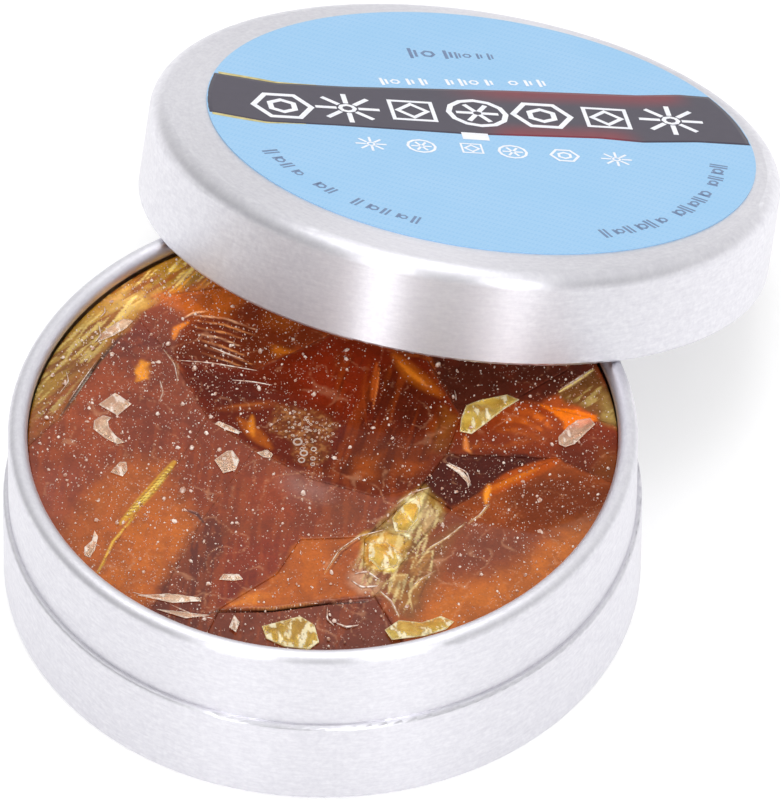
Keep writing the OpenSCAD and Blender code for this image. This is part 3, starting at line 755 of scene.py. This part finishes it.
def ink_material(name, low, high):
    """Printing ink, with the faint mottle of a small press."""
    material, tree = new_material(name)
    place = object_place(tree)
    mottle = noise(tree, place, 1400.0, 3.0)
    colour = mixed(tree, spread(tree, mottle, 0.3, 0.7), rgba(low), rgba(high))
    shader = principled(tree, {
        "Base Color": colour, "Roughness": 0.4, "IOR": 1.45,
        "Normal": bump(tree, mottle, 0.1, 0.00003)})
    return finished(material, shader)


def band_material():
    """The dark band's ink: charcoal, running into dark red where the print does."""
    material, tree = new_material("band ink")
    place = object_place(tree)
    tint = node(tree, "ShaderNodeAttribute", attribute_name="Tint").outputs["Color"]
    mottle = noise(tree, place, 1200.0, 3.0)
    colour = mixed(tree, 1.0, tint, mixed(tree, mottle, (0.86, 0.86, 0.86, 1), (1.14, 1.14, 1.14, 1)),
                   "MULTIPLY")
    shader = principled(tree, {
        "Base Color": colour, "Roughness": 0.38, "IOR": 1.45,
        "Normal": bump(tree, mottle, 0.1, 0.00003)})
    return finished(material, shader)


def floor_material():
    material, tree = new_material("pale floor")
    cloud = noise(tree, object_place(tree), 9.0, 2.0)
    colour = mixed(tree, cloud, (0.62, 0.62, 0.62, 1), (0.65, 0.65, 0.65, 1))
    shader = principled(tree, {
        "Base Color": colour, "Roughness": 0.9, "Emission Color": (1, 1, 1, 1),
        "Emission Strength": FLOOR_GLOW})
    return finished(material, shader)


# ---------------------------------------------------------------- meshes

def add_mesh(name, points, faces, material, body, tints=None, flat=False):
    """A mesh piece from points in millimetres, riding on a body."""
    mesh = bpy.data.meshes.new(name)
    mesh.from_pydata([tuple(p) for p in np.asarray(points) * MM], [], faces)
    mesh.validate()
    if tints is not None:
        layer = mesh.attributes.new("Tint", "FLOAT_COLOR", "POINT")
        if tints.shape[1] == 3:
            tints = np.hstack([tints, np.ones((len(tints), 1))])
        layer.data.foreach_set("color", tints.ravel())
    if not flat:
        mesh.shade_smooth()
    mesh.update()
    piece = bpy.data.objects.new(name, mesh)
    piece.data.materials.append(material)
    bpy.context.scene.collection.objects.link(piece)
    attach(piece, body)
    return piece


def resampled(line, step):
    """A closed outline with extra points, so that none of its edges is longer than step."""
    out = []
    for a, b in zip(line, np.roll(line, -1, axis=0)):
        count = max(1, int(math.ceil(np.linalg.norm(b - a) / step)))
        for k in range(count):
            out.append(a + (b - a) * k / count)
    return np.array(out)


def grown(line, gap):
    """An anticlockwise outline moved out a little, except where it follows the tin's wall."""
    before = line - np.roll(line, 1, axis=0)
    after = np.roll(line, -1, axis=0) - line
    before = before / np.linalg.norm(before, axis=1)[:, None]
    after = after / np.linalg.norm(after, axis=1)[:, None]
    out = np.stack([before[:, 1] + after[:, 1], -before[:, 0] - after[:, 0]], 1)
    moved = line + gap * out / (1 + np.sum(before * after, axis=1))[:, None]
    size = np.linalg.norm(moved, axis=1)
    return moved * np.minimum(1.0, CAKE_R / size)[:, None]


def triangle_grid(low, high, step):
    """Places on a grid of equal triangles that covers a box."""
    rows = np.arange(low[1], high[1], step * math.sqrt(3) / 2)
    cols = np.arange(low[0], high[0], step)
    x, y = np.meshgrid(cols, rows)
    x = x + 0.5 * step * (np.arange(len(rows)) % 2)[:, None]
    return np.stack([x.ravel(), y.ravel()], 1)


def covered(outline, step):
    """Points and triangles that fill an outline; the outline's own points come first."""
    edge = resampled(outline, step * 1.5)
    places = triangle_grid(edge.min(0), edge.max(0), step)
    places = places[depth_inside(places, outline) > 0.6 * step]
    xy = np.vstack([edge, places])
    made = delaunay_2d_cdt([Vector(p) for p in xy], [], [list(range(len(edge)))], 1, 1e-7, True)
    points = np.array([tuple(v) for v in made[0]])
    origin = [ids[0] if ids else -1 for ids in made[3]]
    new_index = {old: new for new, old in enumerate(origin) if old >= 0}
    ring = [new_index[k] for k in range(len(edge)) if k in new_index]
    faces = np.array([tuple(f) for f in made[2]])
    inside = depth_inside(points[faces].mean(axis=1), outline) > 0
    return points, [tuple(int(v) for v in f) for f in faces[inside]], ring


def slab(name, outline, step, top, bottom, material):
    """A closed piece with upright sides: top gives the height and colour at places on a plane."""
    points, faces, ring = covered(outline, step)
    z, tints = top(points)
    count = len(points)
    lower = points[ring]
    everything = np.vstack([np.column_stack([points, z]),
                            np.column_stack([lower, np.full(len(lower), bottom)])])
    under = {v: count + k for k, v in enumerate(ring)}
    walls = []
    for a, b in zip(ring, ring[1:] + ring[:1]):
        walls.append((b, a, under[a], under[b]))
    floor = tuple(reversed([under[v] for v in ring]))
    tints = np.vstack([tints, tints[ring]])
    return add_mesh(name, everything, faces + walls + [floor], material, TIN, tints)


def make_fragment(name, material):
    """One fragment of the cake, painted and broken away a little along its cracks."""
    outline = grown(top_outline(name)[0], CRACK_GAP)
    low, high = [corner.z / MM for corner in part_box(name)]

    def top(xy):
        colours, dip = painted(xy)
        wave = WAVE * clouds(xy[:, 0] / 3.0, xy[:, 1] / 3.0, 78, 3)
        z = high - wave - np.clip(dip + SKIN, 0, DEEPEST_DIP)
        return z, colours

    piece = slab(name.replace("rosin_", "cake_"), outline, GRID, top, low, material)
    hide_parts(name)


def facets(xy, seed, count, slope):
    """The lowest of several tilted planes, which gives a chip's broken faces."""
    rng = np.random.default_rng(seed)
    middle = (xy.min(0) + xy.max(0)) / 2
    half = np.linalg.norm(xy.max(0) - xy.min(0)) / 2
    lowest = np.full(len(xy), 1e9)
    for k in range(count):
        angle = 2 * math.pi * (k + rng.uniform(-0.3, 0.3)) / count
        lean = slope * rng.uniform(0.4, 1.2)
        out = (xy - middle) @ np.array([math.cos(angle), math.sin(angle)]) / half
        lowest = np.minimum(lowest, rng.uniform(0.75, 1.05) - lean * (out + 0.25))
    return lowest


def make_chip(name, material, seed):
    """A loose chip: a thin edge, broken faces and fine shell-shaped ripples, with pale rims and bright
    patches as painted highlights.
    """
    low, high = [corner.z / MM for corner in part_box(name)]
    outlines = [o for o in top_outline(name, at_bottom=True) if len(o) > 3]
    for k, outline in enumerate(outlines):
        middle = outline.mean(0)
        size = np.ptp(outline, axis=0).max()

        def top(xy):
            shape = np.clip(facets(xy, seed + k, 6, 1.1), 0.12, 1)
            d = depth_inside(xy, outline)
            shape = shape * (0.45 + 0.55 * smooth(d / (0.22 * size)))
            ripple = np.sin(np.linalg.norm(xy - middle - size * 0.7, axis=1) * 16 / size ** 0.5)
            z = low + (high - low) * np.clip(shape + 0.05 * ripple - 0.05, 0.1, 1)
            # painted highlights: the Tint's alpha mixes in the pale shader along the rim and in bright
            # patches across the glass
            highlight_patches = clouds(xy[:, 0] * 2.4 + xy[:, 1], xy[:, 1] * 1.6, 37, 3)
            pale_share = 0.02 + 0.4 * (1 - smooth(d / RIM_WIDTH)) + 0.7 * smooth((highlight_patches - 0.56) / 0.09)
            pale_share = np.clip(pale_share, 0, 0.85)
            return z, np.column_stack([np.ones((len(xy), 3)), pale_share])

        label = name if len(outlines) == 1 else f"{name}_{k + 1}"
        piece = slab(label + "_glass", outline, CHIP_GRID, top, low + CHIP_LIFT, material)
        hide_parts(name)


def grain(rng, place, size, height, sides):
    """Points and faces of one broken grain that lies on the cake."""
    turn = rng.uniform(0, 2 * math.pi)
    stretch = rng.uniform(0.45, 1.0)
    heading = rng.uniform(0, math.pi)
    points = []
    for level, share in ((0.0, 1.0), (0.55, 0.92), (1.0, 0.45)):
        for k in range(sides):
            angle = turn + 2 * math.pi * k / sides
            r = 0.5 * size * share * rng.uniform(0.75, 1.1)
            a = r * math.cos(angle)
            b = r * math.sin(angle) * stretch
            points.append((place[0] + a * math.cos(heading) - b * math.sin(heading),
                           place[1] + a * math.sin(heading) + b * math.cos(heading),
                           place[2] + height * level * rng.uniform(0.85, 1.0)))
    faces = [tuple(reversed(range(sides))), tuple(range(2 * sides, 3 * sides))]
    for ring in (0, sides):
        for k in range(sides):
            m = (k + 1) % sides
            faces.append((ring + k, ring + m, ring + sides + m, ring + sides + k))
    return points, faces


def gather(parts):
    """Several lists of points and faces as one."""
    points = []
    faces = []
    for some_points, some_faces in parts:
        start = len(points)
        points.extend(some_points)
        faces.extend(tuple(start + v for v in f) for f in some_faces)
    return points, faces


def islands(name):
    """The centre and the box of each separate solid in a CAD node, in millimetres."""
    bm = bmesh.new()
    bm.from_mesh(frame["nodes"][name].data)
    bmesh.ops.remove_doubles(bm, verts=bm.verts, dist=0.002 * MM)
    left = set(bm.verts)
    found = []
    while left:
        todo = [left.pop()]
        island = []
        while todo:
            vert = todo.pop()
            island.append(vert.co)
            for edge in vert.link_edges:
                other = edge.other_vert(vert)
                if other in left:
                    left.remove(other)
                    todo.append(other)
        co = np.array(island, float) / MM
        found.append((co.min(0), co.max(0)))
    bm.free()
    return sorted(found, key=lambda pair: tuple(pair[0]))


def make_dust(material):
    """The crumbs, and the white dust that the breaking left all over the cake."""
    rng = np.random.default_rng(11)
    parts = []
    for low, high in islands("rosin_crumbs"):
        middle = (low + high) / 2
        size = high[0] - low[0]
        parts.append(grain(rng, (middle[0], middle[1], low[2] - 0.05), size * 1.05,
                           (high[2] - low[2]) + 0.05, 6))
    count = 0
    while count < DUST_COUNT:
        r = (CAKE_R - DUST_MARGIN) * math.sqrt(rng.uniform())
        angle = rng.uniform(0, 2 * math.pi)
        x = r * math.cos(angle)
        y = r * math.sin(angle)
        crowd = 0.45 + 0.5 * (x < -6) + 0.3 * (x < -4) * (y > 0) + 0.25 * (x > 9) * (y > -8)
        if rng.uniform() > crowd:
            continue
        size = min(DUST_LARGEST, DUST_SMALLEST * math.exp(abs(rng.normal()) * 0.75))
        parts.append(grain(rng, (x, y, CAKE_TOP - DUST_SUNK), size, DUST_SUNK + 0.35 * size, 5))
        count += 1
    points, faces = gather(parts)
    piece = add_mesh("rosin_dust", points, faces, material, TIN, flat=True)
    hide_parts("rosin_crumbs")


def ribbon(line, width, z, height):
    """A thin sliver of glass along a line: three-sided, tapering to both ends."""
    line = np.array(line, float)
    steps = 9 * (len(line) - 1)
    lengths = np.concatenate([[0], np.cumsum(np.linalg.norm(np.diff(line, axis=0), axis=1))])
    at = np.linspace(0, lengths[-1], steps + 1)
    x = np.interp(at, lengths, line[:, 0])
    y = np.interp(at, lengths, line[:, 1])
    for _ in range(4):
        x[1:-1] = (x[:-2] + 2 * x[1:-1] + x[2:]) / 4
        y[1:-1] = (y[:-2] + 2 * y[1:-1] + y[2:]) / 4
    dx = np.gradient(x)
    dy = np.gradient(y)
    size = np.hypot(dx, dy)
    nx = -dy / size
    ny = dx / size
    points = []
    for k in range(steps + 1):
        t = 2 * k / steps - 1
        full = 1 - RIBBON_TAPER * t * t
        half = 0.5 * width * full
        rise = height * full
        points.append((x[k] + nx[k] * half, y[k] + ny[k] * half, z - 0.06))
        points.append((x[k] + nx[k] * half * 0.2, y[k] + ny[k] * half * 0.2, z + rise))
        points.append((x[k] - nx[k] * half, y[k] - ny[k] * half, z - 0.06))
    faces = [(0, 1, 2), (3 * steps + 2, 3 * steps + 1, 3 * steps)]
    for k in range(steps):
        for m in range(3):
            n = (m + 1) % 3
            faces.append((3 * k + n, 3 * k + m, 3 * k + 3 + m, 3 * k + 3 + n))
    return points, faces


# pale slivers along the cracks' edges, painted highlights: each line and its width in millimetres
GLINTS = [
    ([(-20.3, 1.8), (-20.6, -1), (-20.8, -3.2)], 0.12),
    ([(-22.2, -0.2), (-21.6, -1.2), (-21.8, -2.5)], 0.12),
    ([(-15.6, 4.8), (-14.2, 3.6), (-13.3, 1.9)], 0.12),
    ([(-14.7, 1.5), (-14, 0.4), (-13.9, -0.7)], 0.12), ([(-14.2, 4.1), (-11.5, 4.8), (-7.7, 5.3)], 0.1),
    ([(-12.2, 6.5), (-10.4, 6.2), (-9.1, 6.1)], 0.12), ([(-9.2, 3.6), (-7.6, 4), (-6, 4.2)], 0.12),
    ([(10.3, 1.1), (12.2, 0.7), (13, -0.6)], 0.14), ([(8.1, -4.6), (8.8, -3), (9.9, -2)], 0.12),
    ([(5.3, -13.4), (5.5, -11), (6.5, -9), (8.2, -7.6)], 0.1),
    ([(10.2, -14.1), (11.4, -14.8), (12.5, -16.1)], 0.2),
    ([(13.9, -4.8), (13.2, -6.6), (12.2, -8.2)], 0.12),
    ([(13.5, -10.5), (12.8, -11.6), (12.4, -12.6)], 0.12),
    ([(6.8, -17.2), (7.2, -18.4), (8, -18.9)], 0.16), ([(8.1, -18.6), (9, -18.7), (9.8, -18.2)], 0.18),
    ([(8.1, 8.9), (8.4, 8.4), (8.6, 7.9)], 0.14), ([(16.1, 12), (17, 13.6), (17.7, 15)], 0.14),
    ([(-21.9, 7.7), (-21.6, 7.1), (-21.8, 6.4)], 0.12),
    ([(-21.6, 5.6), (-21, 4.6), (-21.2, 3.6)], 0.14), ([(15, -2), (14.8, -3.2), (14.4, -4.2)], 0.12),
    ([(7.6, -13), (8.4, -12.4), (9.6, -12.9)], 0.2), ([(7.6, -13.8), (8.6, -14.2), (9.8, -13.6)], 0.2),
    ([(-5, -21.4), (-3, -21.8), (-1.4, -21.6)], 0.14),
    ([(-8.4, -21.2), (-6.4, -21.2), (-5.2, -20.6)], 0.16),
]


def make_glints(material):
    """Thin lifted edges of the cracks in the pale dust material, as painted highlights where the cracks
    catch the light.
    """
    parts = [ribbon(line, width, CAKE_TOP, GLINT_RISE) for line, width in GLINTS]
    points, faces = gather(parts)
    add_mesh("rosin_glints", points, faces, material, TIN)


def bubble(centre, radius):
    """A small bubble's rim: a ring of glass, half sunk."""
    around = 14
    section = 6
    thick = 0.28 * radius
    points = []
    for k in range(around):
        a = 2 * math.pi * k / around
        for m in range(section):
            b = 2 * math.pi * m / section
            r = radius + thick * math.cos(b)
            points.append((centre[0] + r * math.cos(a), centre[1] + r * math.sin(a),
                           CAKE_TOP - BUBBLE_SUNK + thick * math.sin(b)))
    faces = []
    for k in range(around):
        for m in range(section):
            k2 = (k + 1) % around
            m2 = (m + 1) % section
            faces.append((k * section + m, k2 * section + m, k2 * section + m2, k * section + m2))
    return points, faces


def make_bubbles(material):
    """The patch of froth near the middle."""
    rng = np.random.default_rng(4)
    parts = [bubble(c, r) for c, r in (
        ((-1.8, -1.0), 0.33), ((-0.9, -2.0), 0.28), ((-0.8, -2.8), 0.24), ((0.0, -2.3), 0.18),
        ((-0.3, -1.3), 0.2), ((0.2, -2.9), 0.16), ((-1.2, -1.6), 0.15))]
    for _ in range(70):
        x = rng.normal(-1.9, 1.3)
        y = rng.normal(0.6, 1.2)
        parts.append(bubble((x, y), rng.uniform(0.045, 0.1)))
    points, faces = gather(parts)
    pale_share = np.tile([1, 1, 1, 0.5], (len(points), 1))
    add_mesh("rosin_bubbles", points, faces, material, TIN, pale_share)


# ---------------------------------------------------------------- the label's print

def on_lid(xy, height):
    """Places in the lid's own axes, in millimetres, brought to the row frame."""
    flat = np.column_stack([xy, np.full(len(xy), height)])
    return LID_AXES["origin"] + flat @ LID_AXES["axes"]


def print_mesh(name, shapes, material, low, high):
    """Flat printed shapes, each a closed plate that lies on the paper."""
    base = LID_AXES["label_top"]
    points = []
    faces = []
    for shape in shapes:
        shape = np.array(shape, float)
        area = np.sum(shape[:, 0] * np.roll(shape[:, 1], -1) - shape[:, 1] * np.roll(shape[:, 0], -1))
        if area < 0:
            shape = shape[::-1]
        start = len(points)
        n = len(shape)
        points.extend(on_lid(shape, base + low))
        points.extend(on_lid(shape, base + high))
        faces.append(tuple(start + k for k in reversed(range(n))))
        faces.append(tuple(start + n + k for k in range(n)))
        for k in range(n):
            m = (k + 1) % n
            faces.append((start + k, start + m, start + n + m, start + n + k))
    add_mesh(name, points, faces, material, LID, flat=True)


def bar(a, b, width):
    a = np.array(a, float)
    b = np.array(b, float)
    d = (b - a) / np.linalg.norm(b - a)
    n = np.array([-d[1], d[0]]) * width / 2
    return [a - n, b - n, b + n, a + n]


def ring_bars(centre, radius, width, sides, turn):
    """A many-sided ring as plates that meet at its corners."""
    out = []
    for k in range(sides):
        a0 = math.radians(turn + 360 * k / sides)
        a1 = math.radians(turn + 360 * (k + 1) / sides)
        inner = radius - width
        out.append([(centre[0] + r * math.cos(a), centre[1] + r * math.sin(a))
                    for r, a in ((inner, a0), (radius, a0), (radius, a1), (inner, a1))])
    return out


def ornament(centre, size, kind):
    """A generic printed ornament of a few bars and rings."""
    shapes = []
    turn = BAND_TURN
    c = np.array(centre, float)

    def spoke(r0, r1, degrees, width):
        a = math.radians(degrees + turn)
        d = np.array([math.cos(a), math.sin(a)])
        shapes.append(bar(c + d * r0 * size, c + d * r1 * size, width * size))

    if kind == 0:
        shapes.extend(ring_bars(c, size, 0.2 * size, 6, turn))
        shapes.extend(ring_bars(c, 0.52 * size, 0.2 * size, 6, turn + 30))
    elif kind == 1:
        for k in range(8):
            spoke(0.34, 1.0, 45 * k, 0.16)
        shapes.extend(ring_bars(c, 0.3 * size, 0.14 * size, 8, turn))
    elif kind == 2:
        shapes.extend(ring_bars(c, size, 0.18 * size, 4, turn + 45))
        shapes.extend(ring_bars(c, 0.56 * size, 0.2 * size, 4, turn))
    else:
        shapes.extend(ring_bars(c, 0.98 * size, 0.18 * size, 12, turn))
        for k in range(6):
            spoke(0.12, 0.66, 60 * k, 0.16)
    return shapes


def band_place(u, v):
    """Band coordinates (along, across) in the lid's own axes."""
    c = math.cos(math.radians(BAND_TURN))
    s = math.sin(math.radians(BAND_TURN))
    return np.array([u * c - v * s, u * s + v * c])


BAND_TOP = [(-26, 9.2), (-19.9, 9.1), (-14.9, 7.8), (-8.9, 7.9), (4.7, 9.0), (15.9, 9.6), (19.5, 10.2),
            (26, 9.9)]
BAND_FOOT = [(-26, 1.5), (-21.5, 1.5), (-16.8, 0.1), (-10.8, 0.2), (0, 0), (11.2, 0.7), (14.8, 0.4),
             (19.6, 1.1), (26, 1.1)]


def band_row(t):
    """Places along the band at share t from its lower to its upper edge, cut at the label's edge."""
    u = np.linspace(BAND_TOP[0][0], BAND_TOP[-1][0], 1200)
    foot = np.interp(u, *np.array(BAND_FOOT).T)
    top = np.interp(u, *np.array(BAND_TOP).T)
    v = foot + t * (top - foot)
    xy = band_place(u, v).T
    keep = np.linalg.norm(xy - LID_AXES["label"], axis=1) < LID_AXES["label_r"] - 0.06
    pick = np.linspace(0, keep.sum() - 1, BAND_COLUMNS).round().astype(int)
    return u[keep][pick], xy[keep][pick]


def make_band(material):
    """The dark band across the label, whose print runs into dark red along parts of its edges."""
    rows = 24
    count = BAND_COLUMNS
    xy = []
    tints = []
    for r in range(rows + 1):
        t = r / rows
        u, places = band_row(t)
        xy.append(places)
        charcoal = np.tile(linear((62, 56, 72)), (count, 1))
        upper = smooth((u + 2) / 8) * smooth((21 - u) / 3) * smooth((t - 0.66) / 0.3)
        lower = smooth((u - 0.5) / 4) * smooth((15.5 - u) / 3) * smooth((0.34 - t) / 0.3)
        red = (0.85 * np.maximum(upper, lower))[:, None]
        tints.append(charcoal * (1 - red) + linear((128, 34, 50)) * red)
    xy = np.vstack(xy)
    tints = np.vstack(tints)
    base = LID_AXES["label_top"]
    total = len(xy)
    points = np.vstack([on_lid(xy, base + BAND_HIGH), on_lid(xy, base)])
    faces = []
    for r in range(rows):
        for k in range(count - 1):
            a = r * count + k
            faces.append((a, a + 1, a + count + 1, a + count))
            faces.append(tuple(total + v for v in (a, a + count, a + count + 1, a + 1)))
    edge = [k for k in range(count)] + [r * count + count - 1 for r in range(1, rows + 1)]
    edge += [rows * count + k for k in range(count - 2, -1, -1)]
    edge += [r * count for r in range(rows - 1, 0, -1)]
    for a, b in zip(edge, edge[1:] + edge[:1]):
        faces.append((b, a, total + a, total + b))
    tints = np.vstack([tints, tints])
    add_mesh("print_band", points, faces, material, LID, tints)


def make_gold(material):
    """Thin gold lines that edge the left end of the band."""
    shapes = []
    for line, reach, side in ((BAND_TOP, -11.5, 1), (BAND_FOOT, -13.5, -1)):
        u = np.linspace(-23.5, reach, 40)
        v = np.interp(u, *np.array(line).T)
        wide = 0.34 * smooth((reach - u) / 6) + 0.05
        inner = band_place(u, v - side * 0.02).T
        outer = band_place(u, v + side * wide).T
        keep = np.linalg.norm(outer - LID_AXES["label"], axis=1) < LID_AXES["label_r"] - 0.1
        inner = inner[keep]
        outer = outer[keep]
        for k in range(len(inner) - 1):
            shapes.append([inner[k], inner[k + 1], outer[k + 1], outer[k]])
    print_mesh("print_gold", shapes, material, 0.0, INK_HIGH)


def marks_along(start, end, count, tall, wide, skip=()):
    """A row of short upright marks between two places, in place of small words."""
    start = np.array(start, float)
    end = np.array(end, float)
    d = (end - start) / np.linalg.norm(end - start)
    n = np.array([-d[1], d[0]])
    shapes = []
    for k in range(count):
        if k in skip:
            continue
        c = start + (end - start) * k / (count - 1)
        size = tall * (1.0, 0.62, 0.84)[k % 3]
        if k % 3 == 1:
            shapes.extend(ring_bars(c, size * 0.55, size * 0.24, 6, 20 * k))
        else:
            shapes.append(bar(c - n * size / 2, c + n * size / 2, wide))
            beside = c + d * wide * 1.5
            shapes.append(bar(beside - n * size / 3, beside + n * size / 3, wide * 0.8))
    return shapes


def marks_round(low, high, count, tall, wide, skip=()):
    """Short marks on an arc round the label, in place of small words."""
    middle = LID_AXES["label"]
    shapes = []
    for k in range(count):
        if k in skip:
            continue
        a = math.radians(low + (high - low) * k / (count - 1))
        d = np.array([math.cos(a), math.sin(a)])
        n = np.array([-d[1], d[0]])
        c = middle + d * WORDS_R
        size = tall * (1.0, 0.7, 0.86, 0.6)[k % 4]
        shapes.append(bar(c - d * size / 2, c + d * size / 2, wide))
        if k % 4 in (1, 3):
            shapes.extend(ring_bars(c + n * wide * 1.9, size * 0.5, size * 0.22, 6, 30))
        else:
            beside = c + n * wide * 1.7
            shapes.append(bar(beside - d * size / 2, beside + d * size / 2, wide * 0.8))
    return shapes


def make_print(paper_white, grey):
    """The label's ornaments and rows of marks, all generic."""
    big = []
    for k in range(7):
        place = band_place(-15.0 + 5.5 * k, 3.4 + 0.27 * k)
        big.extend(ornament(place, ORNAMENT, (0, 1, 2, 3, 0, 2, 1)[k]))
    print_mesh("print_ornaments", big, paper_white, ON_BAND, ORNAMENT_HIGH)
    small = marks_along((-9.4, 5.6), (1.9, 13.2), 13, 1.35, 0.26, skip=(4, 9))
    for k in range(3):
        small.extend(ornament((-6.2 + 3.7 * k, -6.6 + 2.1 * k), SMALL_ORNAMENT, (1, 3, 2)[k]))
        small.extend(ornament((4.3 + 3.9 * k, -1.0 + 1.9 * k), SMALL_ORNAMENT, (3, 0, 1)[k]))
    small.append(bar((-0.3, -0.5), (1.7, 0.5), 1.3))
    print_mesh("print_white_marks", small, paper_white, ON_BAND, MARK_HIGH)
    dark = marks_along((-9.2, 12.4), (-6.6, 13.9), 3, 1.9, 0.3)
    dark.extend(marks_along((-5.8, 14.3), (-3.4, 15.7), 4, 1.2, 0.2))
    dark.extend(marks_round(15, -41, 17, 1.5, 0.24, skip=(4, 10)))
    dark.extend(marks_round(-134, -88, 13, 1.4, 0.24, skip=(4, 7)))
    print_mesh("print_grey_marks", dark, grey, 0.0, INK_HIGH)


# ---------------------------------------------------------------- stage, light and camera

def make_floor():
    mesh = bpy.data.meshes.new("floor")
    far = FLOOR_HALF
    mesh.from_pydata([(-far, -far, 0), (far, -far, 0), (far, far, 0), (-far, far, 0)], [], [(0, 1, 2, 3)])
    floor = bpy.data.objects.new("floor", mesh)
    floor.data.materials.append(floor_material())
    bpy.context.scene.collection.objects.link(floor)


def softbox(name, place, aim, size, power):
    light = bpy.data.lights.new(name, "AREA")
    light.shape = "RECTANGLE"
    light.size = size[0]
    light.size_y = size[1]
    light.energy = power
    lamp = bpy.data.objects.new(name, light)
    lamp.location = place
    lamp.rotation_euler = (Vector(aim) - Vector(place)).to_track_quat("-Z", "Y").to_euler()
    bpy.context.scene.collection.objects.link(lamp)


def make_light():
    world = bpy.data.worlds.new("studio")
    world.use_nodes = True
    tree = world.node_tree
    background = tree.nodes["Background"]
    direction = node(tree, "ShaderNodeTexCoord").outputs["Generated"]
    lean = vector_math(tree, "DOT_PRODUCT", direction, WORLD_LEAN)
    aside = vector_math(tree, "DOT_PRODUCT", vector_math(tree, "ABSOLUTE", direction), WORLD_ASIDE)
    lean = calculated(tree, "ADD", lean, aside)
    level = node(tree, "ShaderNodeMapRange", {
        "Value": lean, "From Min": WORLD_DARKEST, "From Max": WORLD_BRIGHTEST,
        "To Min": DIM_LIGHT, "To Max": 1.0}, interpolation_type="SMOOTHSTEP").outputs["Result"]
    tree.links.new(level, background.inputs["Color"])
    background.inputs["Strength"].default_value = WORLD_LIGHT
    bpy.context.scene.world = world
    softbox("key", KEY_PLACE, (0, 0, 0), KEY_SIZE, KEY_POWER)
    for name, degrees in STRIP_TURNS:
        turn = math.radians(degrees)
        place = (STRIP_AWAY * math.sin(turn), -STRIP_AWAY * math.cos(turn), STRIP_HEIGHT)
        softbox(name, place, STRIP_AIM, STRIP_SIZE, STRIP_POWER)


def make_camera():
    azimuth = math.radians(CAMERA_AZIMUTH)
    rise = math.radians(CAMERA_ELEVATION)
    roll = math.radians(CAMERA_ROLL)
    back = Vector((math.sin(azimuth) * math.cos(rise), -math.cos(azimuth) * math.cos(rise),
                   math.sin(rise)))
    level = Vector((math.cos(azimuth), math.sin(azimuth), 0))
    upright = back.cross(level)
    right = math.cos(roll) * level + math.sin(roll) * upright
    up = -math.sin(roll) * level + math.cos(roll) * upright
    place = Vector(CAMERA_TARGET) * MM + CAMERA_DISTANCE * MM * back
    data = bpy.data.cameras.new("camera")
    data.lens = CAMERA_LENS
    data.sensor_width = CAMERA_SENSOR
    data.clip_end = CAMERA_FAR
    camera = bpy.data.objects.new("camera", data)
    turn = Matrix((right, up, back)).transposed().to_4x4()
    camera.matrix_world = Matrix.Translation(place) @ turn
    bpy.context.scene.collection.objects.link(camera)
    bpy.context.scene.camera = camera


def main():
    scene = bpy.context.scene
    scene.view_settings.view_transform = "Standard"
    make_camera()
    make_floor()
    make_light()

    tin_metal = metal_material("tin aluminium", np.zeros(3), (0.0, 0.0, 1.0))
    lid_metal = metal_material("lid aluminium", LID_AXES["origin"], LID_AXES["axes"][2])
    looks = (("tin_cup", tin_metal), ("lid_shell", lid_metal), ("lid_label", paper_material()))
    for name, material in looks:
        frame["nodes"][name].data.materials.clear()
        frame["nodes"][name].data.materials.append(material)

    amber = rosin_material()
    for name in FRAGMENTS:
        make_fragment(name, amber)
    clear = glass_material("clear rosin", (250, 232, 218), (232, 200, 180), (226, 200, 182), 0.06)
    yellow = glass_material("yellow rosin", (246, 226, 120), (214, 176, 70), (240, 226, 150), 0.05)
    for k, name in enumerate(CHIPS):
        is_yellow = SLOT_OF[name] == "rosin_olive" or "shard" in name
        make_chip(name, yellow if is_yellow else clear, FIRST_CHIP_SEED + k)
    white = dust_and_glint_material()
    make_dust(white)
    make_glints(white)
    make_bubbles(clear)

    make_band(band_material())
    make_gold(ink_material("gold ink", (176, 160, 92), (214, 200, 136)))
    make_print(ink_material("white ink", (236, 238, 246), (250, 250, 254)),
               ink_material("grey ink", (96, 120, 158), (112, 136, 172)))


main()
